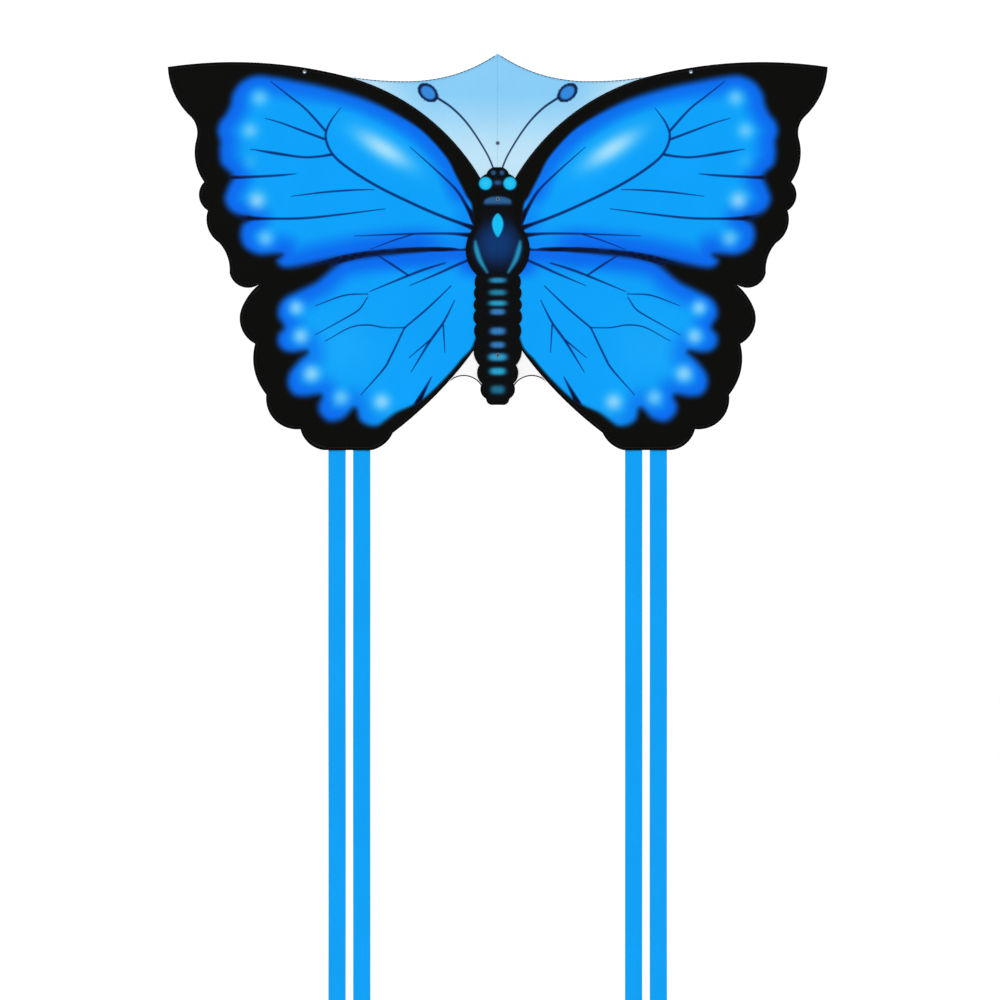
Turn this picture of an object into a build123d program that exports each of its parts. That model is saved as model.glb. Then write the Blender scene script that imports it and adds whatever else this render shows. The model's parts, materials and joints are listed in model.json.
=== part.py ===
from build123d import *
import os
from math import cos, radians, sin

# A single-line butterfly kite, standing upright as it is hung or flown.
# X runs across the wings, Y backwards (the printed face looks along -Y) and Z up, in mm.
# The origin is the middle bridle eyelet, at the neck, on the centre line of the cloth.
# Outlines are drawn for the right wing as (x, z) points; the left wing is its mirror image.

# Cloth. Every sheet is modelled thicker than the real 0.1 mm polyester. The sewn gap is left
# between the sail and what is sewn on behind it.
CLOTH = 0.8
CLOTH_BACK = CLOTH / 2
BODY_GAP = 0.5
BODY_CLOTH = 0.7
SEWN_GAP = 0.1

# Fold line of each wing, through the middle of the bending joiners
FOLD_X = 14.0
FOLD_CLEARANCE = 0.4
WING_EDGE_X = FOLD_X + FOLD_CLEARANCE
SPINE_EDGE_X = FOLD_X - FOLD_CLEARANCE

# Rods
SPINE_R = 2.0
SPINE_Y = 4.2
SPINE_TOP_Z = 270.0
SPINE_BOTTOM_Z = -388.0
SPAR_R = 1.5
SPAR_Y = 3.2
HUB_FIT = 0.05
STOP_RING_FIT = 0.02

# Centre hub, with a stub for each spar
HUB_Z = -55.0
HUB_R = 3.6
HUB_LENGTH = 52.0
HUB_ARM_START = 1.5
BOSS_R = 2.6
STUB_R = 1.6
STUB_LENGTH = 7.5
UPPER_ANGLE = 67.0
UPPER_BOSS_END = 19.0
LOWER_ANGLE = -54.5
LOWER_BOSS_END = 10.5
STOP_RING_R = 3.3
STOP_RING_LENGTH = 6.0
STOP_RING_GAP = 1.0

# Bending joiner tubes between the hub's stubs and the spars
JOINER_R = 2.6
JOINER_BORE_R = 1.65
JOINER_OFF_BOSS = 0.5
UPPER_JOINER_END = 44.0
UPPER_SPAR_START = 34.0
LOWER_JOINER_END = 36.0
LOWER_SPAR_START = 22.5

# Bends of the leading-edge spar, after its straight start
UPPER_BEND_START = 46.0
INNER_BEND_R = 425.0
INNER_BEND = 60.0
OUTER_BEND_R = 1450.0
OUTER_BEND = 11.1
LOWER_SPAR_LENGTH = 480.0

# Cloth sleeves, keeper loops, end caps and end pockets. Loops are placed by their distance from
# the hub along a lower spar, and by their height on the spine.
# The sleeve's ends are angles turned along the spar's bends. It is open behind the wing eyelet.
SLEEVE_HALF_WIDTH = 9.0
SLEEVE_START = 5.0
SLEEVE_GAP_START = 58.0
SLEEVE_GAP_END = 1.7
SLEEVE_END = 1.4
SLEEVE_WALL = 0.6
KEEPER_HALF_WIDTH = 6.0
KEEPER_LENGTH = 16.0
KEEPER_SLACK = 0.15
LOWER_SPAR_LOOPS = (140.0, 280.0, 420.0)
SPINE_LOOPS = (190.0, 60.0, -170.0, -260.0)
CAP_WALL = 0.6
CAP_LENGTH = 11.0
CAP_END = 2.0
CAP_FIT = 0.05
POCKET_LENGTH = 26.0
POCKET_END = 2.0
POCKET_WIDTH = 18.0
POCKET_CORNER_R = 2.0
POCKET_SLACK = 0.1

# Bridle eyelets and their patches
EYELET_BORE_R = 2.0
EYELET_BARREL_R = 2.5
EYELET_FLANGE_R = 3.8
EYELET_FLANGE = 0.5
PATCH_R = 7.0
PATCH_CLOTH = 0.4
TOP_EYELET_Z = 110.0
MIDDLE_EYELET_Z = 0.0
LOWER_EYELET_Z = -307.0
WING_EYELET = (380.0, 250.0)

# Ribbon tails, two below each lower wing
RIBBON_LENGTH = 1200.0
RIBBON_WIDTH = 34.0
RIBBON_CENTRES = {"inner": 267.5, "outer": 316.0}
RIBBON_HEM_R = 0.6
LOBE_BOTTOM_Z = -494.0
RIBBON_GAP = 1.2
RIBBON_HINGE_Z = LOBE_BOTTOM_Z - RIBBON_GAP
TAB_HEIGHT = 18.0

# The outline of one printed wing. It starts at the head, and goes out along the leading edge,
# down the scalloped outer edge, and back in along the trailing edge. A step of two points is
# an arc through the first to the second, and a step of one point is a straight run.
BAND_START = (WING_EDGE_X, 4.0)
BAND_MIDDLE = (158.0, 176.0)
BAND_END = (300.0, 242.0)
NOTCH = (206.0, -460.0)
INNER_BOW = (113.0, -377.0)
WING_HEEL = (30.0, -273.0)
WING_STEPS = [
    (BAND_MIDDLE, BAND_END),
    ((487.0, 269.0), (649.0, 260.0)),
    ((633.0, 200.0), (602.0, 160.0)),
    ((592.0, 141.0), (592.0, 118.0)),
    ((594.0, 72.0), (577.0, 33.0)),
    ((587.0, 3.0), (570.0, -23.0)),
    ((568.0, -62.0), (547.0, -87.0)),
    ((532.0, -112.0), (527.0, -146.0)),
    ((503.0, -173.0), (470.0, -169.0)),
    ((489.0, -189.0), (503.0, -214.0)),
    ((505.0, -251.0), (477.0, -285.0)),
    ((478.0, -338.0), (455.0, -385.0)),
    ((437.0, -436.0), (388.0, -453.0)),
    ((372.0, -480.0), (342.0, LOBE_BOTTOM_Z)),
    ((247.0, LOBE_BOTTOM_Z),),
    ((223.0, -482.0), NOTCH),
    (INNER_BOW, WING_HEEL),
    ((WING_EDGE_X, -255.0),),
]

# The clear panel between the leading edge and the nose, and the white one beside the abdomen.
# Both run on behind the printed wing, which cuts them back.
NOSE_Z = 286.0
NOSE_SHOULDER_Z = 277.0
STRIP_SHOULDER_Z = 277.5
STRIP_END_SHOULDER_Z = -396.0
STRIP_END_Z = -402.0
TOP_BAY = (183.0, 231.5)
TAIL_PANEL_TOP = (WING_EDGE_X, -250.0)
TOP_PANEL_STEPS = [
    ((75.0, 248.5), TOP_BAY),
    ((240.0, 234.0), BAND_END),
    ((340.0, 150.0),),
    ((WING_EDGE_X, -20.0),),
]
TAIL_PANEL_STEPS = [
    ((96.0, -361.0),),
    ((63.0, -348.5), (31.0, -371.0)),
    ((WING_EDGE_X, -384.0),),
]

# The butterfly's body: head, thorax and the scalloped abdomen, right-hand side from the top
BODY_TOP_Z = 62.0
BODY_BOTTOM_Z = -404.0
BODY_STEPS = [
    ((15.0, 59.0), (22.0, 49.0)),
    ((39.0, 31.0), (36.0, 10.0)),
    ((37.0, -28.0), (50.0, -60.0)),
    ((63.0, -100.0), (41.0, -150.0)),
    ((45.5, -162.0), (43.0, -174.0)),
    ((47.0, -185.0), (42.5, -197.0)),
    ((47.5, -208.0), (43.0, -219.0)),
    ((48.0, -232.0), (42.0, -246.0)),
    ((46.5, -260.0), (41.0, -274.0)),
    ((47.5, -300.0), (36.0, -327.0)),
    ((40.5, -343.0), (31.0, -363.0)),
    ((34.0, -377.0), (23.0, -393.0)),
    ((19.0, -402.0), (8.0, -405.0)),
]

PARTS_FOLDER = "parts"


def outline(start, steps):
    """A flat face from a start point and its steps, closed by a straight run."""
    edges = []
    here = start
    for step in steps:
        end = step[-1]
        if len(step) == 2:
            edges.append(ThreePointArc(here, step[0], end))
        else:
            edges.append(Line(here, end))
        here = end
    edges.append(Line(here, start))
    return make_face(edges)


def sheet(face, back, thickness):
    """Cloth cut to a face, whose back is at y = back."""
    return extrude(Plane.XZ.offset(-back) * face, amount=thickness)


def mirrored(face):
    return mirror(face, about=Plane.YZ)


def wing_face():
    return outline(BAND_START, WING_STEPS)


def wing_sail():
    hole = Pos(*WING_EYELET) * Circle(EYELET_BARREL_R)
    return sheet(wing_face() - hole, CLOTH_BACK, CLOTH)


def top_panel():
    """The clear panel, cut back to the black leading edge."""
    face = outline((WING_EDGE_X, NOSE_SHOULDER_Z), TOP_PANEL_STEPS)
    return sheet(face - wing_face(), CLOTH_BACK, CLOTH)


def tail_panel():
    face = outline(TAIL_PANEL_TOP, TAIL_PANEL_STEPS)
    return sheet(face - wing_face(), CLOTH_BACK, CLOTH)


def spine_holes(heights):
    return [Pos(0, z) * Circle(EYELET_BARREL_R) for z in heights]


def spine_strip():
    """The centre strip that both halves of the sail are sewn to, from the nose to the tail."""
    half = outline(
        (0.0, NOSE_Z),
        [((SPINE_EDGE_X, STRIP_SHOULDER_Z),), ((SPINE_EDGE_X, STRIP_END_SHOULDER_Z),),
         ((0.0, STRIP_END_Z),)],
    )
    face = half + mirrored(half)
    for hole in spine_holes([TOP_EYELET_Z, MIDDLE_EYELET_Z, LOWER_EYELET_Z]):
        face -= hole
    return sheet(face, CLOTH_BACK, CLOTH)


def body_panel():
    """The butterfly's black body, sewn on in front of the sail."""
    half = outline((0.0, BODY_TOP_Z), BODY_STEPS + [((0.0, BODY_BOTTOM_Z),)])
    face = half + mirrored(half)
    for hole in spine_holes([MIDDLE_EYELET_Z, LOWER_EYELET_Z]):
        face -= hole
    return sheet(face, -CLOTH_BACK - BODY_GAP, BODY_CLOTH)


def spar_plane(point, angle, y=SPAR_Y):
    """A plane across a rod at an (x, z) point. Its own x lies in the sail, across the rod."""
    run = radians(angle)
    return Plane(
        origin=(point[0], y, point[1]),
        x_dir=(sin(run), 0, -cos(run)),
        z_dir=(cos(run), 0, sin(run)),
    )


def from_hub(angle, distance):
    run = radians(angle)
    return (distance * cos(run), HUB_Z + distance * sin(run))


def rod(angle, start, end, radius):
    """A round bar along one of the hub's stubs, between two distances from the hub."""
    return extrude(spar_plane(from_hub(angle, start), angle) * Circle(radius), amount=end - start)


def bend(point, angle, radius, turn):
    """An arc that turns a spar towards the wing tip, with the point and angle where it ends."""
    out = radians(angle)
    centre = (point[0] + radius * sin(out), point[1] - radius * cos(out))
    arc = CenterArc(centre, radius, angle + 90.0, -turn)
    last = radians(angle - turn)
    end = (centre[0] - radius * sin(last), centre[1] + radius * cos(last))
    return arc, end, angle - turn


def leading_bends(inner_from, inner_to, outer_from, outer_to):
    """Arcs of the leading-edge spar between angles turned along its inner and outer bends."""
    arcs = []
    point, angle = from_hub(UPPER_ANGLE, UPPER_BEND_START), UPPER_ANGLE
    spans = [(INNER_BEND_R, INNER_BEND, inner_from, inner_to)]
    spans.append((OUTER_BEND_R, OUTER_BEND, outer_from, outer_to))
    for radius, whole, first, last in spans:
        if last > first:
            _, start, start_angle = bend(point, angle, radius, first)
            arcs.append((start, start_angle, bend(start, start_angle, radius, last - first)[0]))
        _, point, angle = bend(point, angle, radius, whole)
    return arcs, point, angle


def swept(section, arcs):
    """A section swept along the arcs, in the plane of the rods."""
    start, angle, _ = arcs[0]
    path = Wire([Plane.XZ.offset(-SPAR_Y) * arc for _, _, arc in arcs])
    return sweep(spar_plane(start, angle) * section, path=path)


def leading_spar():
    arcs, _, _ = leading_bends(0.0, INNER_BEND, 0.0, OUTER_BEND)
    straight = rod(UPPER_ANGLE, UPPER_SPAR_START, UPPER_BEND_START, SPAR_R)
    return straight + swept(Circle(SPAR_R), arcs)


def sleeve(inner_from, inner_to, outer_from, outer_to):
    """A flat cloth sleeve round a stretch of the leading-edge spar."""
    depth = SPAR_Y - CLOTH_BACK - SEWN_GAP
    outside = Ellipse(SLEEVE_HALF_WIDTH, depth)
    inside = Ellipse(SLEEVE_HALF_WIDTH - SLEEVE_WALL, depth - SLEEVE_WALL)
    arcs, _, _ = leading_bends(inner_from, inner_to, outer_from, outer_to)
    return swept(outside - inside, arcs)


def lower_spar():
    return rod(LOWER_ANGLE, LOWER_SPAR_START, LOWER_SPAR_START + LOWER_SPAR_LENGTH, SPAR_R)


def end_cap(point, angle, radius, y=SPAR_Y):
    """A soft cap pushed over the end of a rod, whose end is at the point."""
    inside = spar_plane(point, angle, y)
    block = extrude(inside.offset(CAP_END) * Circle(radius + CAP_WALL), amount=-CAP_LENGTH)
    return block - extrude(inside * Circle(radius + CAP_FIT), amount=-CAP_LENGTH)


def end_pocket(point, angle, radius, y=SPAR_Y):
    """A sewn pocket that holds a capped end, open towards the hub."""
    depth = y - CLOTH_BACK - SEWN_GAP
    mouth = radius + CAP_WALL + POCKET_SLACK
    base = spar_plane(point, angle, y).offset(CAP_END + POCKET_END)
    section = RectangleRounded(POCKET_WIDTH, 2 * depth, POCKET_CORNER_R)
    block = extrude(base * section, amount=-POCKET_LENGTH)
    return block - extrude(base.offset(-POCKET_END) * Circle(mouth), amount=-POCKET_LENGTH)


def keeper(point, angle, radius, y=SPAR_Y):
    """A short loop of cloth round a rod, centred on the point."""
    depth = y - CLOTH_BACK - SEWN_GAP
    section = Ellipse(KEEPER_HALF_WIDTH, depth) - Circle(radius + KEEPER_SLACK)
    base = spar_plane(point, angle, y).offset(-KEEPER_LENGTH / 2)
    return extrude(base * section, amount=KEEPER_LENGTH)


def ring_sheet(point, inner, outer, front, back):
    """A flat ring or short tube through the cloth, between y = front and y = back."""
    ring = Pos(*point) * (Circle(outer) - Circle(inner))
    return sheet(ring, back, back - front)


def eyelet(point, front, back):
    """A rolled eyelet through the cloth between y = front and y = back."""
    barrel = ring_sheet(point, EYELET_BORE_R, EYELET_BARREL_R, front, back)
    face = ring_sheet(point, EYELET_BORE_R, EYELET_FLANGE_R, front - EYELET_FLANGE, front)
    rear = ring_sheet(point, EYELET_BORE_R, EYELET_FLANGE_R, back, back + EYELET_FLANGE)
    return barrel + face + rear


def patch(point):
    """A round patch behind the cloth, round an eyelet."""
    return ring_sheet(point, EYELET_BARREL_R, PATCH_R, CLOTH_BACK, CLOTH_BACK + PATCH_CLOTH)


def spine_rod():
    base = Pos(0, SPINE_Y, SPINE_BOTTOM_Z)
    return base * extrude(Circle(SPINE_R), amount=SPINE_TOP_Z - SPINE_BOTTOM_Z)


def spine_tube(middle, length, outer, inner):
    base = Pos(0, SPINE_Y, middle - length / 2)
    return base * extrude(Circle(outer) - Circle(inner), amount=length)


def hub():
    """The moulded hub: a tube on the spine with a boss and a stub for each of the four spars."""
    bore = SPINE_R + HUB_FIT
    body = spine_tube(HUB_Z, HUB_LENGTH, HUB_R, bore)
    core = Pos(0, SPINE_Y, HUB_Z) * Cylinder(bore, 2 * HUB_LENGTH)
    for angle, boss_end in ((UPPER_ANGLE, UPPER_BOSS_END), (LOWER_ANGLE, LOWER_BOSS_END)):
        boss = rod(angle, HUB_ARM_START, boss_end, BOSS_R) - core
        stub = rod(angle, boss_end, boss_end + STUB_LENGTH, STUB_R)
        for piece in (boss, stub):
            body += piece
            body += mirrored(piece)
    return body


def joiner(angle, boss_end, end):
    start = boss_end + JOINER_OFF_BOSS
    return rod(angle, start, end, JOINER_R) - rod(angle, start, end, JOINER_BORE_R)


def ribbon_tab(centre):
    """The end of a ribbon's binding, sewn flat behind the hem of the lower wing."""
    tab = Pos(centre, LOBE_BOTTOM_Z + TAB_HEIGHT / 2) * Rectangle(RIBBON_WIDTH, TAB_HEIGHT)
    return sheet(tab, CLOTH_BACK + PATCH_CLOTH, PATCH_CLOTH)


def ribbon(centre):
    """A ribbon tail hanging from its rolled top hem, which it swings about."""
    drop = Pos(centre, RIBBON_HINGE_Z - RIBBON_LENGTH / 2)
    strip = sheet(drop * Rectangle(RIBBON_WIDTH, RIBBON_LENGTH), CLOTH_BACK, CLOTH)
    hem = Plane.YZ.offset(centre - RIBBON_WIDTH / 2) * Pos(0, RIBBON_HINGE_Z) * Circle(RIBBON_HEM_R)
    return strip + extrude(hem, amount=RIBBON_WIDTH)


def wing_pieces():
    """Every piece that folds with the right wing, by its plain name."""
    _, tip, tip_angle = leading_bends(0.0, INNER_BEND, 0.0, OUTER_BEND)
    lobe = from_hub(LOWER_ANGLE, LOWER_SPAR_START + LOWER_SPAR_LENGTH)
    loops = [keeper(from_hub(LOWER_ANGLE, d), LOWER_ANGLE, SPAR_R) for d in LOWER_SPAR_LOOPS]
    return {
        "wing_sail": wing_sail(),
        "top_panel": top_panel(),
        "tail_panel": tail_panel(),
        "leading_spar": leading_spar(),
        "inner_sleeve": sleeve(SLEEVE_START, SLEEVE_GAP_START, 0.0, 0.0),
        "outer_sleeve": sleeve(0.0, 0.0, SLEEVE_GAP_END, OUTER_BEND - SLEEVE_END),
        "tip_cap": end_cap(tip, tip_angle, SPAR_R),
        "tip_pocket": end_pocket(tip, tip_angle, SPAR_R),
        "lower_spar": lower_spar(),
        "lower_spar_loops": Compound(children=loops),
        "lobe_cap": end_cap(lobe, LOWER_ANGLE, SPAR_R),
        "lobe_pocket": end_pocket(lobe, LOWER_ANGLE, SPAR_R),
        "wing_eyelet": eyelet(WING_EYELET, -CLOTH_BACK, CLOTH_BACK + PATCH_CLOTH),
        "wing_eyelet_patch": patch(WING_EYELET),
        "ribbon_tabs": Compound(children=[ribbon_tab(x) for x in RIBBON_CENTRES.values()]),
        "upper_joiner": joiner(UPPER_ANGLE, UPPER_BOSS_END, UPPER_JOINER_END),
        "lower_joiner": joiner(LOWER_ANGLE, LOWER_BOSS_END, LOWER_JOINER_END),
        "inner_ribbon": ribbon(RIBBON_CENTRES["inner"]),
        "outer_ribbon": ribbon(RIBBON_CENTRES["outer"]),
    }


def spine_pieces():
    """Every piece on the centre line, by name."""
    up, down = 90.0, -90.0
    body_front = -CLOTH_BACK - BODY_GAP - BODY_CLOTH
    patch_back = CLOTH_BACK + PATCH_CLOTH
    ring_reach = (HUB_LENGTH + STOP_RING_LENGTH) / 2 + STOP_RING_GAP
    rings = [
        spine_tube(HUB_Z + side * ring_reach, STOP_RING_LENGTH, STOP_RING_R, SPINE_R + STOP_RING_FIT)
        for side in (1, -1)
    ]
    loops = [keeper((0.0, z), up, SPINE_R, SPINE_Y) for z in SPINE_LOOPS]
    patches = [patch((0.0, z)) for z in (TOP_EYELET_Z, MIDDLE_EYELET_Z, LOWER_EYELET_Z)]
    return {
        "spine_rod": spine_rod(),
        "spine_strip": spine_strip(),
        "body_panel": body_panel(),
        "centre_hub": hub(),
        "hub_stop_rings": Compound(children=rings),
        "spine_loops": Compound(children=loops),
        "nose_cap": end_cap((0.0, SPINE_TOP_Z), up, SPINE_R, SPINE_Y),
        "nose_pocket": end_pocket((0.0, SPINE_TOP_Z), up, SPINE_R, SPINE_Y),
        "tail_cap": end_cap((0.0, SPINE_BOTTOM_Z), down, SPINE_R, SPINE_Y),
        "tail_pocket": end_pocket((0.0, SPINE_BOTTOM_Z), down, SPINE_R, SPINE_Y),
        "top_eyelet": eyelet((0.0, TOP_EYELET_Z), -CLOTH_BACK, patch_back),
        "middle_eyelet": eyelet((0.0, MIDDLE_EYELET_Z), body_front, patch_back),
        "lower_eyelet": eyelet((0.0, LOWER_EYELET_Z), body_front, patch_back),
        "spine_patches": Compound(children=patches),
    }


def main():
    os.makedirs(PARTS_FOLDER, exist_ok=True)
    pieces = spine_pieces()
    for name, piece in wing_pieces().items():
        pieces["right_" + name] = piece
        pieces["left_" + name] = mirrored(piece)
    for name, piece in pieces.items():
        export_step(piece, os.path.join(PARTS_FOLDER, name + ".step"))


main()
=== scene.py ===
import json
import math

import bpy
import numpy as np
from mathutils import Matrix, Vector, geometry, kdtree


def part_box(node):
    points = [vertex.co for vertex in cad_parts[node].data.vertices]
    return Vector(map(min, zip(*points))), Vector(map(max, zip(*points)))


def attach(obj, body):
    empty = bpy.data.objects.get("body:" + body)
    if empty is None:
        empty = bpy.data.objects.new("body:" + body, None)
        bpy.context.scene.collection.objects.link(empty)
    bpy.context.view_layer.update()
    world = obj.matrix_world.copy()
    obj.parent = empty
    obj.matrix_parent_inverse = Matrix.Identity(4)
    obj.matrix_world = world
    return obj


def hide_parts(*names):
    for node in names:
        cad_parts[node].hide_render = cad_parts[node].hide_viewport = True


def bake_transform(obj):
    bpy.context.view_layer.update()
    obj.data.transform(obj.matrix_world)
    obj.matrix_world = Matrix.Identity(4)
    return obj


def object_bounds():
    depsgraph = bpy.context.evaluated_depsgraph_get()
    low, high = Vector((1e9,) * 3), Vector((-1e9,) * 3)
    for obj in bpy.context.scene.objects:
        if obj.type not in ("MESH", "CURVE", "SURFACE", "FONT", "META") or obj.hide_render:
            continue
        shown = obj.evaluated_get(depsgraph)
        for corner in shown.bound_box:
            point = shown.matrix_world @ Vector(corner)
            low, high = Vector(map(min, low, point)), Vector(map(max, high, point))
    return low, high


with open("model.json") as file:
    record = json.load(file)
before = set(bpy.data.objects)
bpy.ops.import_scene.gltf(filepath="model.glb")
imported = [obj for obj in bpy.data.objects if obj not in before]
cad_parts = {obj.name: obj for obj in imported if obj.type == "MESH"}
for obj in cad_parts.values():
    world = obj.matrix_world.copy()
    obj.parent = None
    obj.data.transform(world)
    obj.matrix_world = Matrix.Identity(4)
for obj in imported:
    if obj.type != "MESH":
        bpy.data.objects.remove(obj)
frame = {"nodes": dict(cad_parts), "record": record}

# Lengths are in millimetres up to make_piece(), which builds the mesh in metres. Cloth is drawn
# as (x, z) points of the right wing, and the left wing is its mirror image. The printed face
# looks along -Y and the rods lie behind the cloth.

CAD_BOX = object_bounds()
MM = 0.001
SIDES = (("right", 1), ("left", -1))
RIBBONS = ("inner", "outer")
RNG = np.random.default_rng(7)

# The sail's cloth, the widths of its hems, and the strip beside the spine, up to the fold line
CLOTH = 0.4
HOLE_R = 2.4
HEM_CLOTH = 0.3
HEM_WIDTH = 8.0
TOP_HEM_WIDTH = 5.0
TAIL_HEM = 2.2
FOLD_EDGE = 15.0

# How far the right half of the sail laps over the left one, sideways and forwards
CENTRE_LAP = 0.8
CENTRE_LAP_STEP = 0.08

# How finely cloth is divided: a honeycomb of points, shaken a little, inside an evenly divided rim
GRID_STEP = 4.2
GRID_ROW = 0.87
GRID_SHAKE = 0.08
GRID_CLEARANCE = 0.62
RIM_STEP = 3.0
HOLE_POINTS = 24

# The sail bellies between the rods, outside a calm strip beside the body
BELLY = 5.0
BELLY_START = 66.0
RIPPLE = 0.7


# ---------------------------------------------------------------- frame and rods

def node_box(node):
    """The low and high corners of a CAD piece's box."""
    low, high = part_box(node)
    return np.array(low) / MM, np.array(high) / MM


SPINE_LOW, SPINE_HIGH = node_box("spine_rod")
STRIP_LOW, STRIP_HIGH = node_box("spine_strip")
LOWER_SPAR_LOW, LOWER_SPAR_HIGH = node_box("right_lower_spar")
TABS_LOW, TABS_HIGH = node_box("right_ribbon_tabs")
BODY_Y = sum(node_box("body_panel"))[1] / 2
SPINE_Y = (SPINE_LOW[1] + SPINE_HIGH[1]) / 2
SPINE_R = (SPINE_HIGH[1] - SPINE_LOW[1]) / 2
SPAR_Y = (LOWER_SPAR_LOW[1] + LOWER_SPAR_HIGH[1]) / 2
SPAR_R = (LOWER_SPAR_HIGH[1] - LOWER_SPAR_LOW[1]) / 2

# The spars leave the hub at these angles. The upper one runs straight, then through two bends,
# each with a radius, a turn in degrees and a number of steps
HUB_Z = -55.0
UPPER_ANGLE = 67.0
LOWER_ANGLE = -54.5
BEND_START = 46.0
BENDS = ((425.0, 60.0, 240), (1450.0, 11.1, 132))


def leading_line():
    """Points along the leading-edge spar, from the first bend to the tip."""
    angle = math.radians(UPPER_ANGLE)
    here = np.array([BEND_START * math.cos(angle), HUB_Z + BEND_START * math.sin(angle)])
    line = [here]
    for radius, turn, count in BENDS:
        step = math.radians(turn) / count
        for _ in range(count):
            middle = angle - step / 2
            here = here + radius * step * np.array([math.cos(middle), math.sin(middle)])
            angle -= step
            line.append(here)
    return np.array(line)


LEADING = leading_line()
LOWER_SPAR = np.array([
    [LOWER_SPAR_LOW[0] + SPAR_R, LOWER_SPAR_HIGH[2] - SPAR_R],
    [LOWER_SPAR_HIGH[0] - SPAR_R, LOWER_SPAR_LOW[2] + SPAR_R],
])


# ---------------------------------------------------------------- lines and outlines

def steps_along(line):
    """The distance along a line at each of its points."""
    return np.concatenate([[0.0], np.cumsum(np.linalg.norm(np.diff(line, axis=0), axis=1))])


def at_distance(line, distances):
    """Points at given distances along a line."""
    along = steps_along(line)
    return np.stack([np.interp(distances, along, line[:, k]) for k in range(line.shape[1])], 1)


def respaced(line, step, closed=False):
    """The same line with points about one step apart."""
    if closed:
        line = np.vstack([line, line[:1]])
    total = steps_along(line)[-1]
    count = max(2, int(round(total / step)))
    points = at_distance(line, np.linspace(0.0, total, count + 1))
    return points[:-1] if closed else points


def flowing(points, step, closed=False):
    """A smooth line through a few points."""
    points = np.array(points, float)
    if closed:
        padded = np.vstack([points[-1:], points, points[:2]])
    else:
        first = 2 * points[0] - points[1]
        last = 2 * points[-1] - points[-2]
        padded = np.vstack([first, points, last])
    runs = []
    for a, b, c, d in zip(padded, padded[1:], padded[2:], padded[3:]):
        t = np.linspace(0.0, 1.0, 12, endpoint=False)[:, None]
        runs.append(0.5 * (2 * b + (c - a) * t + (2 * a - 5 * b + 4 * c - d) * t ** 2
                           + (3 * b - a - 3 * c + d) * t ** 3))
    line = np.vstack(runs)
    if not closed:
        line = np.vstack([line, points[-1:]])
    return respaced(line, step, closed)


def normals_of(line):
    """A line's unit normals, on its left."""
    run = np.gradient(line, axis=0)
    run /= np.maximum(np.linalg.norm(run, axis=1), 1e-9)[:, None]
    return np.stack([-run[:, 1], run[:, 0]], 1)


def distance_to(points, line, closed=False):
    """Each point's distance to a line, and how far along the line the nearest place is."""
    if closed:
        line = np.vstack([line, line[:1]])
    along = steps_along(line)
    best = np.full(len(points), 1e9)
    place = np.zeros(len(points))
    for i, (a, b) in enumerate(zip(line, line[1:])):
        run = b - a
        size = max(float(run @ run), 1e-12)
        t = np.clip(((points - a) @ run) / size, 0.0, 1.0)
        gap = points - a - t[:, None] * run
        d = np.sqrt((gap ** 2).sum(1))
        nearer = d < best
        best[nearer] = d[nearer]
        place[nearer] = along[i] + t[nearer] * math.sqrt(size)
    return best, place


def inside(points, loop):
    """Which points lie inside a closed outline."""
    x, z = points[:, 0], points[:, 1]
    hit = np.zeros(len(points), bool)
    for (ax, az), (bx, bz) in zip(loop, np.roll(loop, -1, axis=0)):
        if az != bz:
            crosses = (az > z) != (bz > z)
            hit ^= crosses & (x < (bx - ax) * (z - az) / (bz - az) + ax)
    return hit


def depth_inside(points, loop):
    """Distance to an outline, positive inside it."""
    d, _ = distance_to(points, loop, closed=True)
    return np.where(inside(points, loop), d, -d)


def ease(value, low, high):
    """0 below low, 1 above high, and smooth between. low may be above high."""
    t = np.clip((value - low) / (high - low), 0.0, 1.0)
    return t * t * (3 - 2 * t)


def cut_edge(node):
    """The outline of a CAD cloth panel, read from its front face, as (x, z) points."""
    mesh = frame["nodes"][node].data
    places = [(round(v.co.x / MM, 4), round(v.co.z / MM, 4)) for v in mesh.vertices]
    edges = set()
    for face in mesh.polygons:
        if face.normal.y > -0.9:
            continue
        ring = [places[i] for i in face.vertices]
        for a, b in zip(ring, ring[1:] + ring[:1]):
            if (b, a) in edges:
                edges.remove((b, a))
            else:
                edges.add((a, b))
    follow = dict(edges)
    loops = []
    while follow:
        start, here = follow.popitem()
        loop = [start]
        while here != start:
            loop.append(here)
            here = follow.pop(here)
        loops.append(np.array(loop))
    return max(loops, key=lambda loop: np.ptp(loop[:, 0]) * np.ptp(loop[:, 1]))


def to_centre(loop, top=None, bottom=None):
    """A wing panel's outline carried on from the fold line to the centre of the kite."""
    inner = loop[:, 0] < FOLD_EDGE
    start = int(np.flatnonzero(inner & np.roll(inner, 1))[0])
    loop = np.roll(loop, -start, axis=0)
    high = loop[[0, -1], 1].max() if top is None else top
    low = loop[[0, -1], 1].min() if bottom is None else bottom
    ends = [(0.0, low), (0.0, high)] if loop[0, 1] > loop[-1, 1] else [(0.0, high), (0.0, low)]
    return np.vstack([loop, ends])


def relief(points):
    """How far the cloth lies in front of its flat plane: it bellies between the rods."""
    x, z = points[:, 0], points[:, 1]
    lead, _ = distance_to(points, LEADING[::8])
    lower, _ = distance_to(points, LOWER_SPAR)
    free = np.minimum(np.minimum(lead, lower), np.maximum(x - BELLY_START, 0.0))
    ripple = np.sin(x * 0.031 + z * 0.043) + np.sin(z * 0.071)
    return BELLY * ease(free, 6.0, 120.0) + RIPPLE * ripple * ease(free, 30.0, 110.0)


# ---------------------------------------------------------------- pieces

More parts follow.
